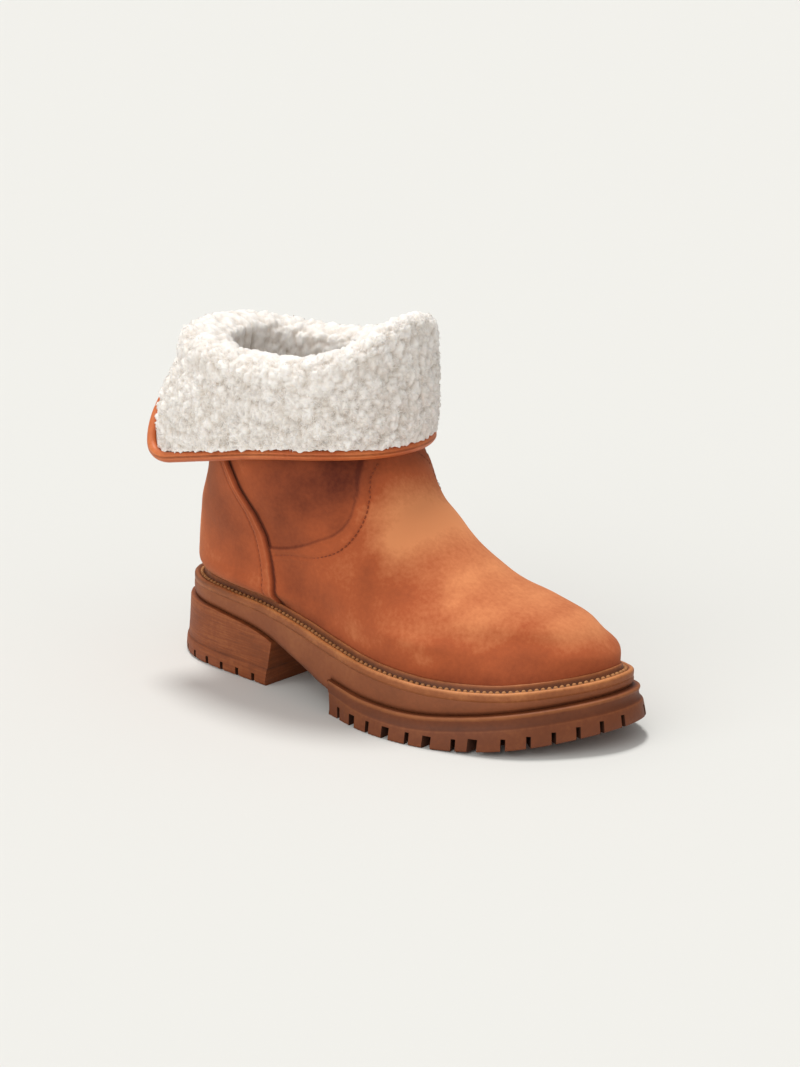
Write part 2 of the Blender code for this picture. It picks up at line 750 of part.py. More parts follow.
outsole = make_outsole()
outer_fore = stations_between(FOREPART_INDEX, HALF_COUNT, LUG_PITCH, 0.7 * LUG_PITCH)
inner_fore = [COUNT - place for place in outer_fore]
CHANNELS = (1, 3, 5, 7)
sides = [place for k, place in enumerate(outer_fore) if k not in CHANNELS]
sides += [place for k, place in enumerate(inner_fore) if k not in CHANNELS]
lug_tools = notch_tools(sides, lambda k: LUG_DEPTH, lambda k: LUG_GAP, LUG_DEPTH)


def at_place(place):
    i = int(math.floor(place))
    part = place - i
    return PLAN[i % COUNT] * (1 - part) + PLAN[(i + 1) % COUNT] * part


for k in CHANNELS:
    if k >= len(outer_fore):
        continue
    near, far = at_place(outer_fore[k]), at_place(inner_fore[k])
    across = (far - near) / np.linalg.norm(far - near)
    along = np.array([-across[1], across[0]])
    floor = float(spring((near[0] + far[0]) / 2))
    lug_tools.append(
        box_points(
            (near + far) / 2, across, along, BALL_WIDTH, LUG_CHANNEL / 2, -LUG_DEPTH, floor + LUG_DEPTH
        )
    )
outsole = combine(outsole, boxes("lug gaps", lug_tools), "DIFFERENCE")


# The cuff: shearling folded over the collar, split at the back.
def collar_curve(count=720):
    outer, inner = upper_curve(UPPER[-1], count // 2)
    curve = np.r_[outer, inner[-2:0:-1]][:, :2]
    facing = closed_normals(curve)
    around = np.r_[curve, curve[:1]]
    lengths = np.r_[0, np.cumsum(np.linalg.norm(np.diff(around, axis=0), axis=1))]
    half = lengths[count // 2]
    shares = np.where(
        lengths <= half, lengths / half / 2, 0.5 + (lengths - half) / (lengths[-1] - half) / 2
    )
    return around, np.r_[facing, facing[:1]], shares, lengths[-1]


COLLAR, COLLAR_FACING, COLLAR_SHARE, COLLAR_ROUND = collar_curve()


def on_collar(share, out):
    """Plan points beyond the collar's outer face."""
    point = [np.interp(share, COLLAR_SHARE, COLLAR[:, axis]) for axis in (0, 1)]
    facing = [np.interp(share, COLLAR_SHARE, COLLAR_FACING[:, axis]) for axis in (0, 1)]
    return np.array(point).T + np.array(facing).T * np.asarray(out)[..., None]


def leg_inner(share, up):
    """The folded leg's inner face in plan, at a share of the way round and of its height above the hem."""
    away = 1 - np.clip(up, 0, 1) ** 2.4
    place = on_collar(share, 1.5 * GAP + CUFF_STANDOFF * smooth(CUFF, "stand", share, "round") * away)
    side = np.where(np.asarray(share) < 0.5, -1.0, 1.0)
    aft = -FLAP_FLARE * smooth(CUFF, "aft", share, "round") * away
    aside = side * FLAP_FLARE * smooth(CUFF, "aside", share, "round") * away
    return place + np.c_[aft, aside]


def leg_point(share, up, depth):
    """A point in the leg's thickness, out from its inner face along the face's own normal in plan."""
    step = 0.004
    before, after = np.maximum(share - step, 0), np.minimum(share + step, 1)
    along = leg_inner(after, up) - leg_inner(before, up)
    along /= np.linalg.norm(along, axis=1)[:, None]
    facing = np.c_[along[:, 1], -along[:, 0]]
    return leg_inner(share, up) + facing * np.reshape(depth * np.ones(len(facing)), (-1, 1))


def pile_depth(share, up):
    return CUFF_THICKNESS * smooth(CUFF, "pile", share, "round") * (0.9 + 0.45 * up)


def slit(up):
    """The split's half width, as a share of the way round, at a share of the leg's height."""
    return SLIT_HEM_SHARE + (SLIT_CREST_SHARE - SLIT_HEM_SHARE) * np.clip(up, 0, 1)


def column_shares(edge):
    """Column places between the flaps' free edges, closer together at the rounded corners."""
    middle = np.linspace(0, 1, CUFF_COLUMNS - 7)
    corner = np.array([0.0, 0.12, 0.35, 0.65]) * FLAP_CORNER / COLLAR_ROUND
    first = FLAP_CORNER / COLLAR_ROUND
    places = np.r_[corner, first + middle * (1 - 2 * first), 1 - corner[::-1]]
    return edge + places * (1 - 2 * edge)


def edge_inset(up):
    """Room for the binding along a flap's edge, gone where the strip ends."""
    return (BINDING_WIDTH + GAP) * np.clip((1 - up) / (1 - BINDING_TOP_SHARE), 0, 1)


def corner_lift(distance, radius):
    inside = np.clip(radius - distance, 0, radius)
    return radius - np.sqrt(radius**2 - inside**2)


def lump(i, j):
    """A fixed scatter between 0 and 1."""
    wave = np.sin(12.9898 * i + 78.233 * j) * 43758.5453
    return wave - np.floor(wave)


LEG_STEPS = (0.0, 0.2, 0.42, 0.65, 0.86)
# out: beyond the collar's outer face, up: above the collar's top, in shares of the crest's height.
FOLD_INNER = (
    dict(out=0.0, up=-0.05),
    dict(out=0.0, up=0.04),
    dict(out=-1.0, up=0.04),
    dict(out=-1.0, up=-0.5),
    dict(out=-1.0, up=-1.0),
)
FOLD_OUTER = (
    dict(out=1.12, up=0.25),
    dict(out=0.77, up=0.82),
    dict(out=0.00, up=1.00),
    dict(out=-0.85, up=0.45),
    dict(out=-0.75, up=-1.0),
)


def make_cuff():
    inset = BINDING_WIDTH + GAP
    outer, inner = [], []
    for step, up in enumerate(LEG_STEPS):
        edge = slit(up) + edge_inset(up) / COLLAR_ROUND
        share = column_shares(edge)
        hem = hem_height(share) + inset
        distance = np.minimum(share - edge, 1 - edge - share) * COLLAR_ROUND
        hem = hem + corner_lift(distance, max(FLAP_CORNER - inset, GAP))
        z = hem + (collar_height(share) - hem) * up
        leg = (z - hem_height(share)) / (collar_height(share) - hem_height(share))
        tuft = FLEECE_LUMP * lump(np.arange(len(share)), step)
        inner.append(np.c_[leg_point(share, leg, 0.0), z])
        thin = EDGE_PILE_SHARE + (1 - EDGE_PILE_SHARE) * np.clip(distance / EDGE_FADE, 0, 1)
        outer.append(np.c_[leg_point(share, leg, thin * (pile_depth(share, up) + tuft)), z])
    edge = slit(1.0)
    share = column_shares(edge)
    pile = smooth(CUFF, "pile", share, "round")
    ones = np.ones(len(share))
    for step, (low, high) in enumerate(zip(FOLD_INNER, FOLD_OUTER)):
        tuft = FLEECE_LUMP * lump(np.arange(len(share)), step + len(LEG_STEPS))
        inside = 1.5 * GAP if low["out"] >= 0 else -UPPER_WALL - 1.5 * GAP
        drop = FLEECE_CREST * low["up"] if low["up"] > -0.4 else CUFF_LIP * low["up"]
        inner.append(np.c_[on_collar(share, inside * ones), collar_height(share) + drop])
        sides = CUFF_THICKNESS * 1.35 * high["out"] * pile
        if high["out"] < 0:
            sides -= UPPER_WALL
        rise = FLEECE_CREST * high["up"] if high["up"] > -0.4 else CUFF_LIP * high["up"]
        pushed = (1 if high["out"] >= 0 else -1) * tuft * abs(high["out"])
        rise = rise + (0.8 * tuft - 0.4 * FLEECE_LUMP) * max(high["up"], 0)
        z = collar_height(share) + rise
        outer.append(np.c_[on_collar(share, sides + pushed), z])
    points, ids = numbered(outer + inner)
    outside, inside = ids[: len(outer)], ids[len(outer) :]
    faces = strip(inside[0], outside[0], closed=False) + strip(outside[-1], inside[-1], closed=False)
    for low, high in zip(outside, outside[1:]):
        faces += strip(low, high, closed=False)
    for low, high in zip(inside, inside[1:]):
        faces += strip(high, low, closed=False)
    for k in range(len(outside) - 1):
        faces.append((inside[k][0], outside[k][0], outside[k + 1][0]))
        faces.append((inside[k][0], outside[k + 1][0], inside[k + 1][0]))
        faces.append((outside[k][-1], inside[k][-1], outside[k + 1][-1]))
        faces.append((inside[k][-1], inside[k + 1][-1], outside[k + 1][-1]))
    return make_object("cuff", points, faces, FLEECE)


cuff = make_cuff()

# The binding: a rolled strip along both free edges and the hem.


def binding_path():
    """Shares round the collar and heights of the strip's centre line, from flap edge to flap edge."""
    inset = BINDING_WIDTH / 2
    radius = FLAP_CORNER - inset
    corner_share = slit(0.0) + FLAP_CORNER / COLLAR_ROUND
    leg = collar_height(corner_share) - hem_height(corner_share)
    path = []
    for up in np.linspace(BINDING_TOP_SHARE, FLAP_CORNER / leg, 9)[:-1]:
        share = slit(up) + inset / COLLAR_ROUND
        path.append((share, hem_height(share) + up * leg))
    for angle in np.linspace(math.pi, 1.5 * math.pi, 6):
        rise = FLAP_CORNER + radius * math.sin(angle)
        share = slit(rise / leg) + (FLAP_CORNER + radius * math.cos(angle)) / COLLAR_ROUND
        path.append((share, hem_height(share) + rise))
    half = len(path)
    for share in np.linspace(corner_share, 0.5, 21)[1:]:
        path.append((share, hem_height(share) + inset))
    shares = np.array([p[0] for p in path])
    heights = np.array([p[1] for p in path])
    mirrored = 1 - shares[-2::-1]
    lift = heights[:half] - hem_height(shares[:half])
    other = hem_height(mirrored) + inset
    other[-half:] = hem_height(mirrored[-half:]) + lift[::-1]
    return np.r_[shares, mirrored], np.r_[heights, other]


def make_binding():
    share, z = binding_path()
    leg = (z - hem_height(share)) / (collar_height(share) - hem_height(share))
    depth = 0.42 * BINDING_THICKNESS
    centre = np.c_[leg_point(share, leg, depth), z]
    outward = np.c_[leg_point(share, leg, 1.0) - leg_point(share, leg, 0.0), np.zeros(len(share))]
    along = np.gradient(centre, axis=0)
    along /= np.linalg.norm(along, axis=1)[:, None]
    outward -= along * (outward * along).sum(axis=1)[:, None]
    outward /= np.linalg.norm(outward, axis=1)[:, None]
    across = np.cross(along, outward)
    rings = []
    sides = 6
    for k in range(sides):
        angle = 2 * math.pi * (k + 0.5) / sides
        reach = BINDING_THICKNESS / 2 * math.cos(angle) * outward
        reach = reach + BINDING_WIDTH / 2 * math.sin(angle) * across / math.cos(math.pi / sides) * 0.87
        rings.append(centre + reach)
    points, ids = numbered(rings)
    faces = []
    for first, second in zip(ids, ids[1:] + ids[:1]):
        faces += [face[::-1] for face in strip(first, second, closed=False)]
    start = [ring[0] for ring in ids]
    end = [ring[-1] for ring in ids]
    for k in range(1, sides - 1):
        faces.append((start[0], start[k + 1], start[k]))
        faces.append((end[0], end[k], end[k + 1]))
    return make_object("cuff_binding", points, faces, LEATHER)


binding = make_binding()

# The origin sits below the middle of the boot's box, on the floor.
parts = [upper, quarter, welt, insole, midsole, heel, outsole, cuff, binding]
corners = np.array([vertex.co[:] for obj in parts for vertex in obj.data.vertices])
middle = (corners.min(axis=0) + corners.max(axis=0)) / 2
for obj in parts:
    for vertex in obj.data.vertices:
        vertex.co[0] -= middle[0]
        vertex.co[1] -= middle[1]
    obj.data.shade_smooth()
    obj.data.set_sharp_from_angle(angle=math.radians(38))
print("shift", middle[0], middle[1])
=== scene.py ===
import math

import bpy
import numpy as np
from mathutils import Matrix, Vector
from numpy.linalg import norm


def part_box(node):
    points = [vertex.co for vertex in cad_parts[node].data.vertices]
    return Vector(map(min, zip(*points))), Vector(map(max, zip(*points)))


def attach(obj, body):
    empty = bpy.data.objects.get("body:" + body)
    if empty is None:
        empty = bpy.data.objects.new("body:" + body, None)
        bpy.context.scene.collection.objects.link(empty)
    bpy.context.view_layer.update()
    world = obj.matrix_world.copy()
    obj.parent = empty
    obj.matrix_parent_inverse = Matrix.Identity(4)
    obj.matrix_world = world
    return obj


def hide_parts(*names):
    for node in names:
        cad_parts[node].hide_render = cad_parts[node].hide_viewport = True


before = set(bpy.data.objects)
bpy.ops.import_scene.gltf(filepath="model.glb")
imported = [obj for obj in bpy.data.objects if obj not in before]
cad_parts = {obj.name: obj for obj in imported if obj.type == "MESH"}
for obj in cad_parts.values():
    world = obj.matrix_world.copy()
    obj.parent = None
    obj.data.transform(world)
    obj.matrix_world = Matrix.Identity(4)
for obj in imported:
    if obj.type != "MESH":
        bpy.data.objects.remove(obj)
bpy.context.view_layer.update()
print("frame loaded")

# Lengths are in millimetres until a mesh is made. x runs from the heel to the toe, y to the inner side.
boot = {
    "soleLength": 272.0, "ballWidth": 105.0, "heelHeight": 44.0, "foreHeight": 28.5, "toeSpring": 11.5,
    "instep": 108.0, "ankle": 112.0, "top": 205.0, "wall": 2.4, "gap": .3,
    "soleEnd": 2.3, "flatShare": .735, "upperEnd": 2.35, "heelLength": 88.0, "foreStart": 136.0,
}
soleLength, ballWidth, gap, wall = (boot[key] for key in ("soleLength", "ballWidth", "gap", "wall"))
soleTable = {
    "at": (0, .08, .16, .28, .4, .5, .6, .7, .8, .9, 1),
    "flare": (1, 1, .9, .7, 0, -.45, .55, 1.05, 1.05, 1.2, 1.5),
    "half": (.44, .43, .392, .356, .368, .414, .472, .52, .548, .55, .475),
    "lean": (0, 0, -.004, -.016, -.04, -.05, -.038, .002, .05, .104, .214),
    "rise": (1, 1, .98, .88, .66, .44, .23, .07, 0, 0, 0),
    "body": (1, 1, 1, 1, 1, 1, 1, 1, 1, .93, .825),
    "under": (.757, .752, .74, .672, .5, .35, .37, .42, .44, .47, .51),
    "lip": (.55, .55, .55, .55, .55, .545, .51, .52, .605, .68, .695),
}
upperTable = {
    "back": (.022, .0202, .0228, .0287, .0368, .053, .0675, .0775, .081, .0805, .079, .0775),
    "backUp": (.12, .24, .38, .53, .69, .85, 1, 1.14, 1.3, 1.46, 1.63, 2),
    "front": (.9675, .9425, .9175, .873, .8045, .734, .668, .606, .559, .525, .504, .493),
    "frontUp": (.092, .192, .284, .35, .42, .525, .667, .834, 1, 1.16, 1.33, 2),
    "heel": (.415, .4, .395, .4, .412, .426, .438, .448, .458, .46, .456, .452),
    "waist": (.35, .355, .358, .362, .372, .392, .42, .442, .456, .462, .458, .452),
    "ball": (.468, .44, .405, .375, .36, .352, .362, .392, .428, .448, .452, .452),
    "toe": (.448, .426, .4, .372, .355, .352, .35, .368, .405, .435, .446, .452),
    "lean": (.01, .014, .018, .024, .024, .024, .026, .028, .028, .026, .022, .018),
    "tip": (.202, .182, .158, .134, .108, .088, .072, .06, .05, .04, .03, .02),
}
cuffTable = {
    "round": (0, .06, .1, .15, .21, .28, .35, .41, .46, .51, .58, .66, .74, .79, .85, .9, .94, 1),
    "crest": (.93, .928, .924, .912, .9, .896, .904, .93, .972, .99, .981, .943, .903, .888, .889, .902,
              .917, .93),
    "hem": (.062, .064, .074, .119, .176, .222, .25, .256, .25, .246, .246, .246, .222, .176, .119, .074,
            .064, .062),
    "aft": (.78, .76, .68, .32, .03, 0, 0, 0, 0, 0, 0, 0, 0, .03, .32, .68, .76, .78),
    "aside": (1.02, .99, .84, .38, .08, 0, 0, 0, 0, 0, 0, 0, 0, .08, .38, .84, .99, 1.02),
    "stand": (1, 1, 1, 1, 1, .92, .96, 1.04, 1.04, 1.04, 1.04, .98, .92, 1, 1, 1, 1, 1),
    "pile": (1.2, 1.2, 1.16, 1.1, 1, 1, .92, .8, .68, .62, .66, .85, 1, 1, 1.1, 1.16, 1.2, 1.2),
}
quarterEdge = {
    "up": (0, .09, .18, .25, .32, .4, .48, .6, .75),
    "along": (.316, .312, .305, .297, .278, .241, .217, .2, .188),
}
gussetEdge = {
    "up": (.75, .48, .4, .32, .25, .205, .222, .246, .274, .3, .324, .358, .41, .52, .75),
    "along": (.178, .206, .229, .266, .286, .292, .35, .394, .431, .463, .479, .49, .494, .487, .482),
}
welt = {"width": 6.7, "thick": 3.0, "ridge": 4.0, "stitch": 2.45, "pitch": 3.3, "thread": 2.0, "line": -4.0}
cuff = {
    "thickness": 7.8, "crest": 9.5, "standOff": 4.6, "flare": 21.0, "corner": 12.0, "lip": 14.0,
    "edgePile": .06, "edgeFade": 34.0, "overlap": 1.12, "slitTop": .003, "slitHem": .1,
    "curl": 6.2, "depth": 3.7, "fuzz": 16000,
}
binding = {"width": 5.5, "thick": 5.6, "top": .9}


def through(xs, ys, at):
    xs, ys = np.asarray(xs, float), np.asarray(ys, float)
    slopes = np.gradient(ys, xs, axis=0)
    x = np.clip(at, xs[0], xs[-1])
    i = np.clip(np.searchsorted(xs, x, side="right") - 1, 0, len(xs) - 2)
    h = xs[i + 1] - xs[i]
    u = (x - xs[i]) / h
    extra = (slice(None),) + (None,) * (ys.ndim - 1) if np.ndim(u) else ()
    if ys.ndim > 1:
        h, u = h[extra], u[extra]
    value = ys[i] * (1 + 2 * u) * (1 - u) ** 2 + ys[i + 1] * u * u * (3 - 2 * u)
    return value + h * u * (1 - u) * (slopes[i] * (1 - u) - slopes[i + 1] * u)


def step(low, high, value):
    t = np.clip((value - low) / (high - low), 0, 1)
    return t * t * (3 - 2 * t)


def bell(distance, width):
    return np.exp(-((distance / width) ** 2))


def endShape(share, power):
    return np.maximum(1 - np.abs(2 * share - 1) ** power, 0) ** (1 / power)


def arcs(curve):
    return np.r_[0, np.cumsum(norm(np.diff(curve, axis=0), axis=1))]


def unit(vectors):
    return vectors / np.maximum(norm(vectors, axis=-1), 1e-9)[..., None]


# The columns of a curve at the given lengths along it.
def sample(at, lengths, curve):
    return np.array([np.interp(at, lengths, column) for column in curve.T]).T


def closedNormals(points):
    along = unit(np.roll(points, -1, axis=0) - np.roll(points, 1, axis=0))
    return np.c_[along[:, 1], -along[:, 0]]


def endedShares(count):
    return (1 - np.cos(np.linspace(0, math.pi, count + 1))) / 2


# Smooth noise of the script's own, the same on every run.
def scatter(i, j, seed):
    wave = np.sin(12.9898 * i + 78.233 * j + 37.719 * seed) * 43758.5453
    return wave - np.floor(wave)


def cloud(a, b, size, seed=0):
    x, y = a / size, b / size
    i, j = np.floor(x), np.floor(y)
    u, v = x - i, y - j
    u, v = u * u * (3 - 2 * u), v * v * (3 - 2 * v)
    low = scatter(i, j, seed) * (1 - u) + scatter(i + 1, j, seed) * u
    high = scatter(i, j + 1, seed) * (1 - u) + scatter(i + 1, j + 1, seed) * u
    return (low * (1 - v) + high * v) * 2 - 1


# Distance to the nearest centre of a jittered grid in space, in cells, and that centre's own number.
def curls(places, size, seed):
    scaled = places / size
    base = np.floor(scaled)
    best, key = np.full(scaled.shape[:-1], 9.0), np.zeros(scaled.shape[:-1])
    for i, j, k in np.ndindex(3, 3, 3):
        cell = base + [i - 1, j - 1, k - 1]
        a, b = cell[..., 0] + 17.3 * cell[..., 2], cell[..., 1] - 9.7 * cell[..., 2]
        jitter = np.stack([scatter(a, b, seed), scatter(a, b, seed + 5), scatter(a, b, seed + 7)], axis=-1)
        away = norm(scaled - cell - .1 - .8 * jitter, axis=-1)
        key = np.where(away < best, scatter(a, b, seed + 9), key)
        best = np.minimum(best, away)
    return best, key


# The sole's outline and heights.
def soleAt(key, share):
    return through(soleTable["at"], soleTable[key], share)


def soleSides(count=500):
    share = endedShares(count)
    lean = soleAt("lean", share) * ballWidth
    half = soleAt("half", share) * endShape(share, boot["soleEnd"]) * ballWidth
    outer, inner = np.c_[share * soleLength, lean - half], np.c_[share * soleLength, lean + half]
    normals = closedNormals(np.r_[outer, inner[-2:0:-1]])
    innerNormals = np.r_[normals[:1], normals[: count - 1 : -1]]
    return [(curve, facing, arcs(curve) / arcs(curve)[-1])
            for curve, facing in ((outer, normals[: count + 1]), (inner, innerNormals))]


sides = soleSides()


def onSole(side, share):
    curve, facing, at = sides[side]
    return sample(share, at, curve), unit(sample(share, at, facing))


def soleStations(count):
    outer, inner = (onSole(side, np.linspace(0, 1, count + 1)) for side in (0, 1))
    return [np.r_[there, back[-2:0:-1]] for there, back in zip(outer, inner)]


def springAt(x):
    share = np.clip((x / soleLength - boot["flatShare"]) / (1 - boot["flatShare"]), 0, 1)
    return boot["toeSpring"] * share**2


def weltEdge(x):
    share = x / soleLength
    lifted = (boot["heelHeight"] - boot["foreHeight"]) * soleAt("rise", share)
    return springAt(x) + boot["foreHeight"] * soleAt("body", share) + lifted


def between(x, key):
    return springAt(x) + (weltEdge(x) - springAt(x)) * soleAt(key, x / soleLength)


def midsoleTop(x):
    return weltEdge(x) - welt["thick"]


def midsoleUnder(x):
    return between(x, "under")


def flangeTop(x):
    return between(x, "lip")


def ringAt(stations, out, height):
    points, facing = stations
    return np.c_[points + np.reshape(out, (-1, 1)) * facing, height(points[:, 0])]


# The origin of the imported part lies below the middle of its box, so the midsole gives the shift.
trial = ringAt(soleStations(240), .28, midsoleTop)
middle = (trial.min(axis=0) + trial.max(axis=0)) / 2 - (np.array(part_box("midsole")) * 500).sum(axis=0)
shift = middle * [1, 1, 0]
print("frame read")


# Meshes.
def addObject(name, data):
    made = bpy.data.objects.new(name, data)
    bpy.context.scene.collection.objects.link(made)
    return made


def newMesh(name, points, faces, material):
    mesh = bpy.data.meshes.new(name)
    points = (np.reshape(points, (-1, 3)) - shift) / 1000
    mesh.from_pydata(points.tolist(), [], [tuple(map(int, f)) for f in faces])
    mesh.materials.append(material)
    return mesh


def makePiece(name, points, faces, material, tone, node=None):
    mesh = newMesh(name, points, faces, material)
    mesh.attributes.new("tone", "FLOAT", "POINT").data.foreach_set("value", np.float32(tone).ravel())
    mesh.shade_smooth()
    piece = addObject(name, mesh)
    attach(piece, "root")
    if node:
        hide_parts(node)
    return piece


def gridFaces(rows, columns, closed=False, flip=False, start=0):
    r, c = np.mgrid[: rows - 1, : columns if closed else columns - 1]
    r, following = r * columns, (c + 1) % columns
    corners = [r + c, r + following, r + columns + following, r + columns + c]
    quads = np.stack(corners, axis=-1).reshape(-1, 4) + start
    return quads[:, ::-1] if flip else quads


# A cap of quads laid across a ring like the rungs of a ladder.
def rungs(ring, upward=True):
    faces = []
    for low in range((len(ring) - 1) // 2):
        high = len(ring) - 1 - low
        face = [*ring[low : low + 2], *ring[max(high - 1, low + 2) : high + 1]]
        faces.append(face if upward else face[::-1])
    return faces


def stackedRings(rings, closed=True):
    points, count = np.concatenate(rings), len(rings[0])
    faces = [*gridFaces(len(rings), count, closed), *rungs(range(count), upward=False)]
    return points, faces + rungs(range(len(points) - count, len(points)))


def surfaceNormals(grid, closed=True):
    if closed:
        around = np.roll(grid, -1, axis=1) - np.roll(grid, 1, axis=1)
    else:
        around = np.gradient(grid, axis=1)
    return unit(np.cross(around, np.gradient(grid, axis=0)))


def pathDistance(points, path):
    best = np.full(len(points), 1e9)
    for a, b in zip(path[:-1], path[1:]):
        line = b - a
        t = np.clip((points - a) @ line / (line @ line), 0, 1)
        best = np.minimum(best, norm(points - a - t[:, None] * line, axis=1))
    return best


def insideOutline(points, outline):
    inside = np.zeros(len(points), bool)
    for (x0, z0), (x1, z1) in zip(outline, np.roll(outline, -1, axis=0)):
        crosses = (z0 > points[:, 1]) != (z1 > points[:, 1])
        at = x0 + (points[:, 1] - z0) * (x1 - x0) / (z1 - z0 + 1e-12)
        inside ^= crosses & (points[:, 0] < at)
    return inside


def finePath(path, count):
    length = arcs(path)
    return through(length, path, np.linspace(0, length[-1], count))


def sideView(table):
    up = np.array(table["up"])
    z = boot["heelHeight"] + up * (boot["top"] - boot["heelHeight"])
    return np.c_[np.array(table["along"]) * soleLength, z]


# Shader node helpers.
def addNode(tree, kind, inputs=None, **settings):
    node = tree.nodes.new("ShaderNode" + kind)
    for key, value in settings.items():
        setattr(node, key, value)
    for key, value in (inputs or {}).items():
        if isinstance(value, bpy.types.NodeSocket):
            tree.links.new(value, node.inputs[key])
        else:
            node.inputs[key].default_value = value
    return node


def rgb(*colour):
    linear = [c / 255 / 12.92 if c / 255 <= .04045 else ((c / 255 + .055) / 1.055) ** 2.4 for c in colour]
    return (*linear, 1.0)


def objectPlace(tree):
    return addNode(tree, "TexCoord").outputs["Object"]


def stretch(tree, scale):
    return addNode(tree, "Mapping", {"Vector": objectPlace(tree), "Scale": scale}).outputs[0]


def noise(tree, scale, detail, roughness=.5, place=None):
    inputs = {"Vector": place or objectPlace(tree), "Scale": scale, "Detail": detail, "Roughness": roughness}
    return addNode(tree, "TexNoise", inputs).outputs["Fac"]


def remap(tree, value, low, high, toLow, toHigh):
    inputs = {"Value": value, "From Min": low, "From Max": high, "To Min": toLow, "To Max": toHigh}
    return addNode(tree, "MapRange", inputs).outputs[0]


def calculate(tree, operation, first, second):
    return addNode(tree, "Math", {0: first, 1: second}, operation=operation).outputs[0]


def blend(tree, share, first, second):
    return addNode(tree, "Mix", {0: share, 6: first, 7: second}, data_type="RGBA").outputs[2]


def toneOf(tree):
    return addNode(tree, "Attribute", attribute_name="tone").outputs["Fac"]


def newGroup(name, inputs, outputs):
    group = bpy.data.node_groups.new(name, "ShaderNodeTree")
    for way, sockets in (("INPUT", inputs), ("OUTPUT", outputs)):
        for label, kind in sockets.items():
            group.interface.new_socket(label, in_out=way, socket_type="NodeSocket" + kind)
    return group, group.nodes.new("NodeGroupInput").outputs, group.nodes.new("NodeGroupOutput").inputs


def makeClouding():
    inputs = {**dict.fromkeys(("Dark", "Middle", "Light"), "Color"),
              **dict.fromkeys(("Tone", "Scale", "Strength"), "Float")}
    group, given, out = newGroup("suede clouding", inputs, {"Color": "Color", "Mask": "Float"})
    broad = noise(group, given["Scale"], 4.0, .55, stretch(group, (1.0, 1.0, .75)))
    grit = remap(group, noise(group, 420.0, 3.0, .6), .3, .7, -.07, .07)
    swing = calculate(group, "MULTIPLY", calculate(group, "SUBTRACT", broad, .5), given["Strength"])
    total = calculate(group, "ADD", calculate(group, "ADD", swing, given["Tone"]), grit)
    lower = blend(group, remap(group, total, -.8, 0.0, 0.0, 1.0), given["Dark"], given["Middle"])
    colour = blend(group, remap(group, total, 0.0, .5, 0.0, 1.0), lower, given["Light"])
    group.links.new(colour, out["Color"])
    group.links.new(total, out["Mask"])
    return group


def makeNap():
    inputs = dict.fromkeys(("Scale", "Pores", "Share"), "Float")
    group, given, out = newGroup("nap and grain", inputs, {"Height": "Float"})
    fine = noise(group, given["Scale"], 4.0, .7)
    pores = noise(group, given["Pores"], 3.0)
    mixed = addNode(group, "Mix", {0: given["Share"], 2: fine, 3: pores}, data_type="FLOAT")
    group.links.new(mixed.outputs[0], out["Height"])
    return group


clouding, napGrain = makeClouding(), makeNap()


def startMaterial(name, fixed):
    material = bpy.data.materials.new(name)
    material.use_nodes = True
    shader = material.node_tree.nodes["Principled BSDF"]
    for key, value in fixed.items():
        shader.inputs[key].default_value = value
    return material, material.node_tree, shader.inputs


def addBump(tree, height, distance, strength, under=None):
    inputs = {"Height": height, "Distance": distance, "Strength": strength}
    if under:
        inputs["Normal"] = under
    return addNode(tree, "Bump", inputs).outputs[0]


def addGrain(tree, scale, pores, share, distance, strength):
    grain = addNode(tree, "Group", {"Scale": scale, "Pores": pores, "Share": share}, node_tree=napGrain)
    return addBump(tree, grain.outputs[0], distance, strength)


suede = {
    "fixed": {"Sheen Weight": .35, "Sheen Roughness": .5, "Sheen Tint": rgb(235, 170, 125),
              "Specular IOR Level": .18},
    "colours": ((92, 36, 20), (172, 86, 49), (218, 140, 92)), "scale": 26.0, "strength": .75,
    "grain": (1500.0, 330.0, .4, .00016, .8), "rough": (.72, .9),
}
leather = {
    "fixed": {"Specular IOR Level": .4, "Roughness": .5}, "scale": 60.0, "strength": .5,
    "colours": ((120, 48, 22), (192, 98, 50), (226, 138, 82)), "grain": (1100.0, 500.0, .5, .00012, .7),
}
# The partings' colour is painted shade between the curls.
fleece = {"partingShade": rgb(220, 210, 199), "tips": rgb(252, 247, 242), "clouds": rgb(218, 210, 200)}
# Dark, middle and light colour, the clouds' scale, the roughness, and the height of moulded lines.
rubbers = {
    "midsoleBrown": (((74, 36, 18), (136, 75, 41), (168, 104, 60)), 45.0, .6),
    "weltTan": (((62, 32, 15), (147, 83, 43), (206, 136, 80)), 60.0, .55),
    "outsoleBrown": (((58, 27, 11), (113, 57, 26), (150, 88, 45)), 50.0, .55),
    "heelBrown": (((66, 31, 12), (134, 68, 30), (172, 102, 54)), 50.0, .6, .0004),
    # The slots' walls take a darker rubber: painted shade.
    "slotPaintedShade": (((46, 22, 10), (70, 35, 17), (92, 48, 24)), 80.0, .8),
    "waxedThread": (((96, 58, 30), (172, 118, 72), (200, 148, 98)), 200.0, .7),
    "tonalThread": (((84, 34, 18), (128, 60, 34), (160, 84, 50)), 200.0, .7),
}


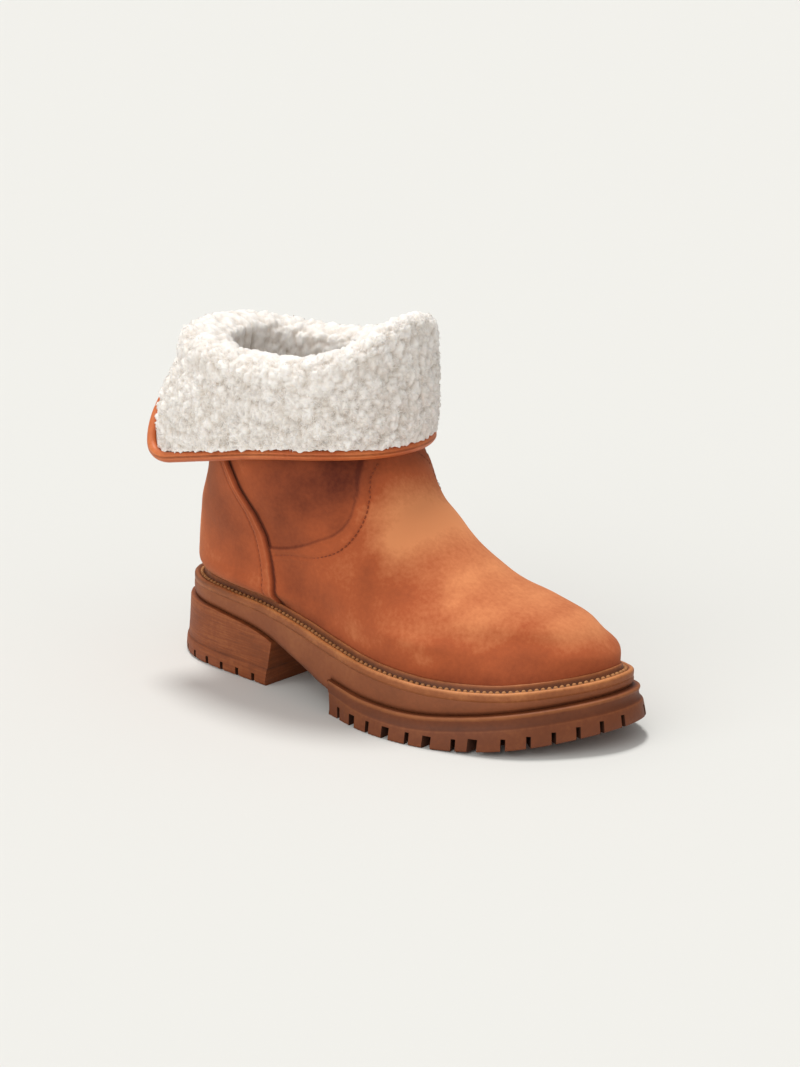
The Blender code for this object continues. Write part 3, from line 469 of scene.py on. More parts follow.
# Clouded colours over a fine grain, with level moulded lines or a nap that is rougher where it is pale.
def makeClouded(name, fixed, colours, scale, strength, grain, rough=None, lines=0.0):
    material, tree, shader = startMaterial(name, fixed)
    tone, normal = toneOf(tree), addGrain(tree, *grain)
    if lines:
        layer = noise(tree, 1000.0, 3.0, .65, stretch(tree, (.05, .05, 1.0)))
        tone = calculate(tree, "ADD", tone, remap(tree, layer, .35, .65, -.16, .12))
        normal = addBump(tree, layer, lines, .9, normal)
    inputs = dict(zip(("Dark", "Middle", "Light"), (rgb(*colour) for colour in colours)))
    inputs.update({"Tone": tone, "Scale": scale, "Strength": strength})
    clouds = addNode(tree, "Group", inputs, node_tree=clouding).outputs
    tree.links.new(clouds["Color"], shader["Base Color"])
    if rough:
        tree.links.new(remap(tree, clouds["Mask"], -.5, .5, *rough), shader["Roughness"])
    tree.links.new(normal, shader["Normal"])
    return material


def makeRubber(name, colours, scale, roughness, lines=0.0):
    fixed = {"Specular IOR Level": .35, "Roughness": roughness}
    return makeClouded(name, fixed, colours, scale, .6, (800.0, 300.0, .6, .0001, .7), lines=lines)


def makeFleece():
    material, tree, shader = startMaterial("creamFleece", {
        "Roughness": .95, "Sheen Weight": .5, "Sheen Roughness": .6, "Specular IOR Level": .1,
        "Subsurface Weight": .25, "Subsurface Scale": .004, "Subsurface Radius": (1.0, .9, .75)})
    # Darker in the partings between the curls: painted shade.
    colour = blend(tree, toneOf(tree), fleece["partingShade"], fleece["tips"])
    fade = remap(tree, noise(tree, 70.0, 3.0), .35, .7, 0.0, .35)
    tree.links.new(blend(tree, fade, colour, fleece["clouds"]), shader["Base Color"])
    tree.links.new(addGrain(tree, 1600.0, 620.0, .55, .0006, .9), shader["Normal"])
    return material


tanSuede, strapLeather = makeClouded("tanSuede", **suede), makeClouded("bindingLeather", **leather)
creamFleece = makeFleece()
rubber = {name: makeRubber(name, *look) for name, look in rubbers.items()}
print("materials made")


# Reach along a stitch, size and lift of each of its sections.
stitchShape = ((-.5, .25, -.35), (-.42, .8, -.05), (-.2, 1.0, .12), (.2, 1.0, .12), (.42, .8, -.05),
               (.5, .25, -.35))
stitchSides = 7


def stitchRow(name, path, normals, pitch, length, thickness, material):
    at = arcs(path)
    marks = np.arange(pitch / 2, at[-1] - length / 2, pitch)
    centre, up = sample(marks, at, path), sample(marks, at, normals)
    along = unit(sample(marks + .4, at, path) - centre)
    up = unit(up - along * (up * along).sum(axis=1)[:, None])
    across = np.cross(along, up)
    angle = 2 * math.pi * np.arange(stitchSides) / stitchSides
    rings = []
    for reach, size, lift in stitchShape:
        high = thickness * (lift + .5 * size * np.sin(angle))
        wide = thickness * .55 * size * np.cos(angle)
        middle = (centre + along * reach * length)[:, None]
        rings.append(middle + up[:, None] * high[:, None] + across[:, None] * wide[:, None])
    points = np.stack(rings, axis=1).reshape(-1, 3)
    faces, each = [], len(stitchShape) * stitchSides
    for start in range(0, len(points), each):
        end = start + each
        faces += list(gridFaces(len(stitchShape), stitchSides, closed=True, flip=True, start=start))
        faces += [range(start, start + stitchSides), range(end - 1, end - 1 - stitchSides, -1)]
    makePiece(name, points, faces, material, np.zeros(len(points)))


# The midsole.
undercut = 1.4


def midsoleFoot(x):
    under = midsoleUnder(x) + undercut
    return np.where(x > boot["foreStart"] - 1e-3, np.maximum(flangeTop(x) + undercut, under), under)


def makeMidsole():
    stations = soleStations(260)
    x = stations[0][:, 0]
    rings = [ringAt(stations, -undercut, midsoleUnder),
             ringAt(stations, -.9, lambda v: midsoleFoot(v) - 1.35),
             ringAt(stations, -.35, lambda v: midsoleFoot(v) - 1.2)]
    # The rings in the undercut and at the foot of the side are painted darker: painted shade.
    tones = [-.45, -.4, -.35]
    for share in np.linspace(0, 1, 11):
        bulge = .35 * math.sin(math.pi * share) - .1 * (share < .05)
        height = midsoleFoot(x) * (1 - share) + (midsoleTop(x) + .3) * share
        rings.append(ringAt(stations, bulge, lambda v: height))
        tones.append(-.06 + .08 * share - .3 * max(0, .12 - share) / .12)
    rings.append(ringAt(stations, -1.0, lambda v: midsoleTop(v) + .3))
    points, faces = stackedRings(rings)
    drift = .06 * cloud(np.tile(x, len(rings)), points[:, 2], 30, 3)
    drift += np.tile(.16 * bell(x, 90) - .08 * step(130, 200, x), len(rings))
    tone = np.repeat(tones + [-.1], len(x)) + drift
    makePiece("midsoleBody", points, faces, rubber["midsoleBrown"], tone, "midsole")


makeMidsole()


# The welt: a ridge against the upper, a sewn groove, and a rounded rim.
weltSection = {
    "out": (-6.7, -6.75, -6.65, -6.4, -6.05, -5.75, -5.5, -5.2, -4.8, -4.2, -3.4, -2.9, -2.5, -2.1, -1.6, -1,
            -.4, .05, .22, .2, .08, -.2),
    "up": (-2.7, 1.5, 3.3, 3.75, 3.7, 3.2, 2.2, 1.2, .55, .25, .2, .45, .85, 1.15, 1.35, 1.35, 1.1,
           .6, 0, -1.6, -3.1, -3.1),
    # Tones: lighter on the ridge's and the rim's tops (painted highlight), darker in the sewn groove (painted
    # shade).
    "tone": (-.5, -.45, 0, .15, .15, 0, -.35, -.5, -.62, -.66, -.55, -.35, 0, .2, .34, .4, .32,
             .18, .06, 0, 0, -.05),
}


def makeWelt():
    stations = soleStations(330)
    x, y = stations[0].T
    wave = .12 * cloud(x, y, 7, 1)
    rings, tones = [], []
    for out, up, tone in list(zip(*weltSection.values()))[::-1]:
        rings.append(ringAt(stations, out + .25 * wave, lambda v: weltEdge(v) + up))
        rings[-1][:, 2] += wave * (up > 0)
        # Round the heel the lighter parts are dimmed: painted shade.
        tones.append(tone - .55 * bell(x, 55) * (tone > 0))
    faces = gridFaces(len(rings) + 1, len(x), closed=True) % (len(rings) * len(x))
    makePiece("weltStrip", rings, faces, rubber["weltTan"], tones, "welt")
    line = ringAt(stations, welt["line"], lambda v: weltEdge(v) + .35)
    line = np.r_[line, line[:1]]
    up = np.tile([0.0, 0.0, 1.0], (len(line), 1))
    stitchRow("weltStitching", line, up, welt["pitch"], welt["stitch"], welt["thread"], rubber["waxedThread"])


makeWelt()
print("midsole and welt made")

# The upper's own surface.
upperRows = [dict(zip(upperTable, row)) for row in zip(*upperTable.values())]
feather = welt["width"] + gap


def cuffAt(key, share):
    return through(cuffTable["round"], cuffTable[key], share)


def collarHeight(share):
    return boot["top"] * cuffAt("crest", share) - cuff["crest"]


def hemHeight(share):
    return boot["instep"] + (boot["top"] - boot["instep"]) * cuffAt("hem", share)


def profileHeight(up, x, middle, share):
    low = float(weltEdge(x)) + welt["ridge"]
    return low + (middle - low) * min(up, 1) + (float(collarHeight(share)) - middle) * max(up - 1, 0)


def upperCurve(row, count=400):
    share = endedShares(count)
    widths = (row["heel"], row["heel"], row["waist"], row["ball"], row["toe"], row["toe"])
    half = through((0, .15, .42, .72, .9, 1), widths, share) * endShape(share, boot["upperEnd"]) * ballWidth
    lean = through((0, .3, .72, 1), (0, 0, row["lean"], row["tip"]), share) * ballWidth
    x = soleLength * (row["back"] + (row["front"] - row["back"]) * share)
    low = profileHeight(row["backUp"], 0.0, boot["ankle"], 0.0)
    high = profileHeight(row["frontUp"], soleLength, boot["instep"], .5)
    z = low + (high - low) * share
    return np.c_[x, lean - half, z], np.c_[x, lean + half, z]


# The tilted rings at the given shares of the way from back to toe, outer side then inner side.
def upperKeys(outerShare, innerShare, aroundShare):
    shares = (outerShare, innerShare)
    base = np.concatenate([ringAt(onSole(side, shares[side]), -feather, lambda x: midsoleTop(x) + gap)
                           for side in (0, 1)])
    rings = [base, base + [0, 0, welt["thick"] + welt["ridge"]]]
    for row in upperRows:
        rings.append(np.concatenate([sample(share * arcs(curve)[-1], arcs(curve), curve)
                                     for share, curve in zip(shares, upperCurve(row))]))
    rings[-1][:, 2] = collarHeight(aroundShare)
    return np.array(rings)


def upperSurface(levels, count):
    share = np.linspace(0, 1, count + 1)
    inner = share[-2:0:-1]
    keys = upperKeys(share, inner, np.r_[share / 2, 1 - inner / 2])
    return through(np.arange(len(keys)), keys, levels)


gussetOutline = sideView(gussetEdge)
gussetLine = finePath(gussetOutline[5:], 60)
gussetRow = {
    "along": (.318, .345, .432, .482, .506, .515, .513, .506, .5),
    "up": (.185, .196, .217, .258, .311, .368, .423, .47, .56),
}
secondRow = finePath(sideView(gussetRow), 60)

# Soft troughs (depth above 0) and swells of the suede, each from one place to another as seen from the side.
folds = {
    "fromX": (139, 147, 150, 128, 176, 196, 96, 215, 100, 62, 150),
    "fromZ": (126, 114, 104, 88, 84, 66, 60, 50, 96, 96, 60),
    "toX": (133, 136, 138, 152, 196, 226, 122, 244, 118, 70, 185),
    "toZ": (104, 98, 90, 62, 60, 56, 56, 52, 106, 76, 48),
    "width": (6, 7, 7, 10, 12, 9, 9, 8, 9, 7, 12),
    "depth": (.7, .8, .6, .6, .5, .5, .4, .4, .6, .4, -.5),
}
# Lighter and darker patches of the suede as seen from the side: partly the suede's own mottling, partly
# painted highlight on the vamp's top and painted shade under the cuff.
mottleAndPaintedLight = {
    "x": (164, 186, 212, 240, 255, 170, 172, 205, 236, 105, 124, 156, 59, 40, 262, 142, 104, 226),
    "z": (96, 81, 69, 61, 56, 84, 66, 53, 48, 108, 122, 112, 70, 88, 47, 62, 52, 66),
    "size": (16, 18, 20, 18, 14, 16, 13, 18, 20, 26, 16, 17, 24, 20, 12, 18, 18, 16),
    "tone": (.46, .32, .34, .28, .26, -.06, -.16, -.22, -.28, -.42, -.4, .56, -.2, -.28, -.2, -.06, -.1, .16),
}


def swellAt(points):
    return .3 * cloud(points[:, 0], points[:, 2], 34, 4) + .12 * cloud(points[:, 0], points[:, 2], 13, 6)


def suedeTone(points):
    tone = np.zeros(len(points))
    x, z = points[:, 0], points[:, 2]
    for patchX, patchZ, size, value in zip(*mottleAndPaintedLight.values()):
        tone += value * bell(np.hypot(x - patchX, z - patchZ), size)
    tone += .13 * cloud(x + .4 * z, z, 15, 2)
    tone += .07 * cloud(x - .3 * z, z, 7, 5)
    return tone - .22 * bell(np.maximum(z - weltEdge(x) - welt["ridge"], 0), 5.0)


def makeUpper():
    levels = np.r_[np.linspace(.6, 10, 176), np.linspace(10, 13, 14)[1:]]
    grid = upperSurface(levels, 208)
    normals = surfaceNormals(grid)
    points, facing = grid.reshape(-1, 3), normals.reshape(-1, 3)
    flat = points[:, [0, 2]]
    edge = pathDistance(flat, gussetOutline)
    signed = np.where(insideOutline(flat, gussetOutline), edge, -edge)
    near = pathDistance(flat, gussetLine)
    second = pathDistance(flat, secondRow)
    swell = swellAt(points)
    for x0, z0, x1, z1, width, depth in zip(*folds.values()):
        away = pathDistance(flat, np.array([(x0, z0), (x1, z1)], float))
        swell += depth * (.35 * bell(away - 1.7 * width, .8 * width) - bell(away, width))
    out = swell - .9 * step(-.5, .8, signed) + .35 * bell(near - 1.1, .9) * (signed < 0)
    share = np.where(points[:, 1] < 0, 1.0, .25)
    out += share * (.25 * bell(second - 2.0, 1.2) - .35 * bell(second, 1.0))
    quarterPath = sideView(quarterEdge)
    ahead = points[:, 0] - np.interp(points[:, 2], quarterPath[:, 1], quarterPath[:, 0])
    # The suede just ahead of the quarter's folded edge is painted darker: painted shadow of the edge's step.
    tone = suedeTone(points) - 1.5 * bell(np.maximum(ahead, 0), 1.1)
    tone -= .16 * step(-.4, .6, signed) + .4 * bell(near, .7) + .1 * bell(second, .7)
    count = grid.shape[1]
    everything = np.r_[points + out[:, None] * facing, points[-count:] - wall * facing[-count:]]
    faces = gridFaces(len(levels) + 1, count, closed=True)
    makePiece("upperSuede", everything, faces, tanSuede, np.r_[tone, np.zeros(count)], "upper")
    return grid, normals


upperGrid, upperNormals = makeUpper()


# A path drawn in the side view, laid on the upper's surface of one side.
def laidOnUpper(path, side, out):
    count = upperGrid.shape[1] // 2
    chosen = slice(0, count + 1) if side == 0 else slice(count, None)
    points, facing = (values[:, chosen].reshape(-1, 3) for values in (upperGrid, upperNormals))
    made, up = [], []
    for x, z in path:
        away = np.hypot(points[:, 0] - x, points[:, 2] - z)
        near = np.argsort(away)[:4]
        weight = (1 / (away[near] + .05))[:, None]
        weight /= weight.sum()
        up.append((facing[near] * weight).sum(axis=0))
        made.append(np.array([x, (points[near] * weight).sum(axis=0)[1], z]) + out * up[-1])
    return np.array(made), np.array(up)


seam = {"pitch": 2.7, "stitch": 1.9, "thread": .5}


def seamRow(name, path, up, thread):
    stitchRow(name, path, up, seam["pitch"], seam["stitch"], thread, rubber["tonalThread"])


for side, word, thread in ((0, "Outer", .55), (1, "Inner", .3)):
    path, up = laidOnUpper(finePath(secondRow, 50), side, -.42 + .26 * side)
    seamRow("gussetStitching" + word, path, up, thread)


# The back quarter lies over the upper, with a folded front edge and a row of stitches behind it.
def makeQuarter():
    path = sideView(quarterEdge)
    levels = np.r_[1.03, 1.06, 1.1, 1.16, np.linspace(1.25, 11.4, 110)]
    share = np.linspace(0, 1, 401)
    keys = upperKeys(share, share[1:], np.r_[share / 2, 1 - share[1:] / 2])
    spread = np.r_[0, .15, .3, .5, .75, 1.05, 1.4, 1.8, 2.3, 3, 4, 5, 6, 6.6, 7.2, 7.8, 8.4, 9.2]
    rows, distances = [], []
    for row in through(np.arange(len(keys)), keys, levels):
        halves, aways = [], []
        for curve in (row[:401], np.r_[row[:1], row[401:]]):
            past = curve[:, 0] - np.interp(curve[:, 2], path[:, 1], path[:, 0])
            first = int(np.argmax(past > 0))
            part = -past[first - 1] / (past[first] - past[first - 1])
            length = arcs(curve)
            reach = length[first - 1] + part * (length[first] - length[first - 1])
            at = np.r_[reach - spread, np.linspace(reach - 9.2, 0, 42)[1:]]
            halves.append(sample(at, length, curve))
            aways.append(reach - at)
        rows.append(np.r_[halves[0], halves[1][-2::-1]])
        distances.append(np.r_[aways[0], aways[1][-2::-1]])
    grid, away = np.array(rows), np.array(distances)
    normals = -surfaceNormals(grid, closed=False)
    out = 1.9 * np.sqrt(np.clip(away / 1.1, 0, 1)) - .25 + .45 * bell(away - 1.3, 1.0)
    out -= .4 * bell(away - 7.4, .7) - .2 * bell(away - 5.2, 1.6)
    out *= .25 + .75 * np.clip((levels[:, None] - 1.03) / .13, 0, 1) ** .6
    points, away, shape = grid.reshape(-1, 3), away.ravel(), grid.shape
    # At its folded edge the suede is painted darker (painted shade) and along its roll lighter (painted
    # highlight); the stitch line behind is darker.
    tone = suedeTone(points) - .45 * bell(away, .5) + .1 * bell(away - 2.2, 1.6) - .18 * bell(away - 7.4, .8)
    made = grid + (out + .5 * swellAt(points).reshape(out.shape))[..., None] * normals
    faces = gridFaces(shape[0], shape[1], flip=True)
    makePiece("quarterSuede", made, faces, tanSuede, tone, "back_quarter")
    stitchAt = np.argmin(np.abs(away.reshape(out.shape)[:, :60] - 7.4), axis=1)
    row = np.arange(4, shape[0])
    for word, columns in (("Outer", stitchAt[4:]), ("Inner", shape[1] - 1 - stitchAt[4:])):
        seamRow("quarterStitching" + word, made[row, columns], normals[row, columns], seam["thread"])


makeQuarter()
print("upper made")

# The heel block and the outsole, cut by upright slots.
heelSection = {
    "out": (.48, .68, .78, .8, .75, .72, .66, .6, .57, .5, .44, .4, .34, .1),
    "up": (0, 0, 0, 0, 0, 0, 0, 0, .1, .35, .7, .955, .995, 1),
    "lift": (0, .05, .16, .4, .85, .96, 1.04, 1.06, 1, 1, 1, 1, 1, 1),
    "tone": (-.3, -.1, 0, .02, .05, 0, -.3, -.2, 0, .02, .02, .12, .1, -.3),
}
boxFaces = ((3, 2, 1, 0), (4, 5, 6, 7), (0, 1, 5, 4), (1, 2, 6, 5), (2, 3, 7, 6), (3, 0, 4, 7))
tread = {
    "flare": 5.6, "root": .34, "lift": 9.2, "rake": 6.0, "flange": 6.4,
    "pitch": 12.8, "deep": 6.5, "slot": 2.4, "channel": 4.5,
}
channels = (1, 3, 5, 7)


def sharesAt(x):
    return [float(np.interp(x, curve[:, 0], at)) for curve, _, at in sides]


def chainOf(low, high, count):
    return [onSole(side, np.linspace(low[side], high[side], count + 1)) for side in (0, 1)]


def slotPlaces(side, low, high, offset):
    share = np.linspace(low, high, 400)
    point, facing = onSole(side, share)
    length = arcs(point + tread["flare"] * facing)
    marks = offset + tread["pitch"] * np.arange(60)
    marks = marks[marks < length[-1] - .5 * tread["pitch"]]
    return np.interp(marks, length, share)


def slotAt(side, share, deep, high):
    point, normal = (values[0] for values in onSole(side, np.array([share])))
    return point, normal, tread["slot"], float(springAt(point[0])) + high, 2.5 * tread["flare"] + deep


def cutSlots(piece, slots):
    points, faces = [], []
    for point, facing, width, high, length in slots:
        along = np.array([-facing[1], facing[0]])
        centre = point + facing * (2.5 * tread["flare"] - length / 2 if length else 0)
        half = length / 2 if length else ballWidth
        faces += [[len(points) + i for i in f] for f in boxFaces]
        for z in (-5, high):
            for a, b in ((-1, -1), (1, -1), (1, 1), (-1, 1)):
                points.append([*(centre + a * half * facing + b * width / 2 * along), z])
    # The cut walls take the slot rubber's darker colour: painted shade.
    tool = addObject("slots", newMesh("slots", points, faces, rubber["slotPaintedShade"]))
    cut = piece.modifiers.new("slots", "BOOLEAN")
    cut.object, cut.operation, cut.solver, cut.material_mode = tool, "DIFFERENCE", "EXACT", "TRANSFER"
    made = bpy.data.meshes.new_from_object(piece.evaluated_get(bpy.context.evaluated_depsgraph_get()))
    piece.modifiers.clear()
    piece.data = made
    bpy.data.objects.remove(tool, do_unlink=True)
    rounding = piece.modifiers.new("rounding", "BEVEL")
    rounding.width, rounding.segments, rounding.limit_method = .00035, 2, "ANGLE"
    rounding.angle_limit = math.radians(38)
    made.shade_smooth()
    made.set_sharp_from_angle(angle=math.radians(50))


def makeHeel():
    ends = sharesAt(boot["heelLength"])
    (outer, outerFacing), (inner, innerFacing) = chainOf((0, 0), ends, 60)
    points, facing = np.r_[inner[:0:-1], outer], np.r_[innerFacing[:0:-1], outerFacing]
    reach = (tread["flare"] * soleAt("flare", points[:, 0] / soleLength))[:, None] * facing
    top = midsoleUnder(points[:, 0]) - gap
    rings = []
    for out, up, lift, _ in zip(*heelSection.values()):
        foot = tread["lift"] * lift
        ring = np.c_[points + out * reach, foot + (top - foot) * up]
        back = ring[:, 0].min()
        rake = tread["rake"] / boot["heelLength"] * (1 - ring[:, 2] / boot["heelHeight"])
        ring[:, 0] = back + (ring[:, 0] - back) * (1 - rake)
        rings.append(ring)
    made, faces = stackedRings(rings)
    tone = np.repeat(heelSection["tone"], len(points))
    piece = makePiece("heelBlock", made, faces, rubber["heelBrown"], tone, "heel")
    slots = []
    for side in (0, 1):
        for k, share in enumerate(slotPlaces(side, 0, ends[side], 1.6 * tread["pitch"])):
            slots.append(slotAt(side, share, tread["deep"] * (1 if k % 2 else .5), .75 * tread["deep"]))
    cutSlots(piece, slots)


outsoleSection = {
    "out": (.82, .94, .99, 1, .92, .8, .75, .68, .62, .55, .5, .5, .52, .56, .575, .55, .46,
            .34),
    "of": (0, 0, 0, 0, 1, 1, 1, 1, 1, 1, 1, 1, 1, 1, 1, 1, 1, 1),
    "up": (0, .03, .09, .18, 1.9, 1.25, 1.14, 1.06, 1, .85, .65, .5, .36, .27, .18, .08, .01, 0),
    # Tones: lighter along the flange's top (painted highlight), darker in the hollow band below it (painted
    # shade).
    "tone": (-.3, -.1, 0, .02, 0, .04, .12, -.1, -.2, -.2, -.15, -.1, 0, .2, .36, .4, .2, -.1),
}


def makeOutsole():
    starts = sharesAt(boot["foreStart"])
    (outer, outerFacing), (inner, innerFacing) = chainOf(starts, (1, 1), 110)
    points, facing = np.r_[outer, inner[-2::-1]], np.r_[outerFacing, innerFacing[-2::-1]]
    x = points[:, 0]
    flare = soleAt("flare", x / soleLength)
    rings = []
    for out, of, up, _ in zip(*outsoleSection.values()):
        reach = tread["flare"] * (tread["root"] + (out - tread["root"]) * flare)
        z = springAt(x) + tread["flange"] * up
        if of:
            low = springAt(x) + tread["flange"] * (.22 + .1 * (1.9 - up))
            z = np.maximum(flangeTop(x) - tread["flange"] * up, low)
        rings.append(np.c_[points + reach[:, None] * facing, z])
    cup = points + (gap - undercut) * facing
    rings += [np.c_[cup, flangeTop(x) + .1], np.c_[cup, midsoleUnder(x) - gap]]
    made, faces = stackedRings(rings, closed=False)
    first = [k * len(x) for k in range(len(rings))]
    last = [k + len(x) - 1 for k in first]
    faces.append((first[0], first[-1], last[-1], last[0]))
    for low in range(len(rings) - 2):
        faces += [(first[-1], first[low], first[low + 1]), (last[-1], last[low + 1], last[low])]
    tone = np.repeat([*outsoleSection["tone"], -.4, -.4], len(x))
    piece = makePiece("outsoleCup", made, faces, rubber["outsoleBrown"], tone, "outsole")
    slots = []
    rows = [slotPlaces(side, starts[side], 1, .7 * tread["pitch"]) for side in (0, 1)]
    for side in (0, 1):
        for k, share in enumerate(rows[side]):
            if k not in channels:
                slots.append(slotAt(side, share, tread["deep"], tread["deep"]))
    for k in channels:
        near, far = (onSole(side, rows[side])[0][k] for side in (0, 1))
        middle = (near + far) / 2
        high = float(springAt(middle[0])) + tread["deep"]
        slots.append((middle, unit(far - near), tread["channel"], high, 0))
    cutSlots(piece, slots)


makeHeel()
makeOutsole()
print("heel and outsole made")


# The cuff: shearling folded over the collar, and open at the back.
def collarCurve(count=900):
    outer, inner = upperCurve(upperRows[-1], count // 2)
    curve = np.r_[outer, inner[-2:0:-1]][:, :2]
    facing = closedNormals(curve)
    around = np.r_[curve, curve[:1]]
    length = arcs(around)
    half = length[count // 2]
    share = np.where(length <= half, length / half / 2, .5 + (length - half) / (length[-1] - half) / 2)
    return around, np.r_[facing, facing[:1]], share, length[-1]


collar, collarFacing, collarShare, collarRound = collarCurve()


def onCollar(share, out):
    facing = sample(share, collarShare, collarFacing)
    return sample(share, collarShare, collar) + facing * np.asarray(out)[..., None]


def legInner(share, up):
    away = 1 - np.clip(up, 0, 1) ** 2.4
    place = onCollar(share, 1.5 * gap + cuff["standOff"] * cuffAt("stand", share) * away)
    side = np.where(np.asarray(share) < .5, -1.0, 1.0)
    return place + cuff["flare"] * np.c_[-cuffAt("aft", share) * away, side * cuffAt("aside", share) * away]


def legPoint(share, up, depth):
    along = unit(legInner(np.minimum(share + .004, 1), up) - legInner(np.maximum(share - .004, 0), up))
    return legInner(share, up) + np.reshape(depth, (-1, 1)) * np.c_[along[:, 1], -along[:, 0]]


def slitAt(up):
    return cuff["slitHem"] + (cuff["slitTop"] - cuff["slitHem"]) * np.clip(up, 0, 1)


def cornerLift(distance, radius):
    inside = np.clip(radius - distance, 0, radius)
    return radius - np.sqrt(radius**2 - inside**2)


def legHeight(share):
    return collarHeight(share) - hemHeight(share)


cornerShare = slitAt(0.0) + cuff["corner"] / collarRound
leg = legHeight(cornerShare)
legSteps = (0.0, .1, .2, .31, .42, .54, .65, .76, .86)
# Out and up on the collar's side, then on the fleece's side.
foldSteps = ((0.0, -.05, 1.12, .25), (0.0, .04, .77, .82), (-1.0, .04, 0.0, 1.0), (-1.0, -.5, -.85, .45),
             (-1.0, -1.0, -.75, -1.0))


# Rows of the fleece's outer side from hem to crest and down inside, and of the skin's side.
def cuffKeys(places, reach=1.0):
    inset = reach * (binding["width"] + gap)
    radius = cuff["corner"] - inset
    skew = (slitAt(inset / leg) - slitAt(cuff["corner"] / leg)) * collarRound
    outer, inner = [], []
    for up in legSteps:
        taken = inset * cuff["overlap"] * np.clip((1 - up) / (1 - binding["top"]), 0, 1)
        edge = slitAt(up + (1 - up) * cuff["corner"] / leg) + taken / collarRound
        share = edge + places * (1 - 2 * edge)
        distance = np.minimum(share - edge, 1 - edge - share) * collarRound
        hem = hemHeight(share) + inset + cornerLift(distance * radius / (radius + skew), radius)
        z = hem + (collarHeight(share) - hem) * up
        height = (z - hemHeight(share)) / legHeight(share)
        thin = cuff["edgePile"] + (1 - cuff["edgePile"]) * np.clip(distance / cuff["edgeFade"], 0, 1)
        pile = cuff["thickness"] * cuffAt("pile", share) * (.9 + .45 * up) + .7
        inner.append(np.c_[legPoint(share, height, 0.0), z])
        outer.append(np.c_[legPoint(share, height, thin * pile), z])
    share = slitAt(1.0) + places * (1 - 2 * slitAt(1.0))
    top, pile = collarHeight(share), 1.35 * cuff["thickness"] * cuffAt("pile", share)
    for low, lowUp, high, highUp in foldSteps:
        inside = 1.5 * gap if low >= 0 else -wall - 1.5 * gap
        out = high * pile + (.9 if high > 0 else 0) - (wall if high < 0 else 0)
        for rows, reach, rise in ((inner, inside + 0 * share, lowUp), (outer, out, highUp)):
            rows.append(np.c_[onCollar(share, reach), top + rise * cuff["crest" if rise > -.4 else "lip"]])
    return np.array(outer), np.array(inner)


# Height from 0 in the partings to 1 on the curls.
def fleeceRelief(places, scale, seed=0):
    x, y, z = np.moveaxis(places, -1, 0)
    turn = [cloud(y, z, 1.3 * scale, seed + 1), cloud(z, x, 1.3 * scale, seed + 2),
            cloud(x + y, z, 1.3 * scale, seed + 3)]
    places = places + .22 * scale * np.stack(turn, axis=-1)
    away, key = curls(places, scale, seed + 11)
    lump = np.clip(1 - (away / .72) ** 2, 0, 1) * (.7 + .3 * key)
    away, key = curls(places, .52 * scale, seed + 23)
    tuft = np.clip(1 - (away / .74) ** 2, 0, 1) * (.55 + .45 * key)
    crumb = np.clip(1 - (curls(places, .3 * scale, seed + 31)[0] / .8) ** 2, 0, 1)
    return np.clip(.58 * lump + .36 * tuft + .16 * crumb, 0, 1)


# Short bent fibres that stand out of the fleece.
def makeFuzz(grid, normals):
    chance = np.random.default_rng(4)
    count = cuff["fuzz"]
    row = chance.integers(5, int(grid.shape[0] * .8), count)
    column = chance.integers(10, grid.shape[1] - 10, count)
    root, up = grid[row, column], normals[row, column]
    turn = chance.uniform(0, 2 * math.pi, count)[:, None]
    level = unit(np.cross(up, [0.0, 0.0, 1.0]))
    side = np.cos(turn) * level + np.sin(turn) * np.cross(up, level)
    across = np.cross(up, side)
    length = chance.uniform(.9, 2.0, count)[:, None]
    edges = []
    for t, width in ((0.0, .24), (.4, .22), (.75, .16), (1.0, .05)):
        centre = root + up * (length * .95 * t * (1 - .45 * t) - .2) + side * length * .9 * t * t
        edges += [centre - across * width, centre + across * width]
    start = np.arange(count)[:, None] * len(edges)
    faces = np.concatenate([start + np.array([k, k + 1, k + 3, k + 2]) for k in (0, 2, 4)])
    points = np.stack(edges, axis=1)
    makePiece("cuffFuzz", points, faces, creamFleece, np.full(points.shape[:2], .9), "cuff")


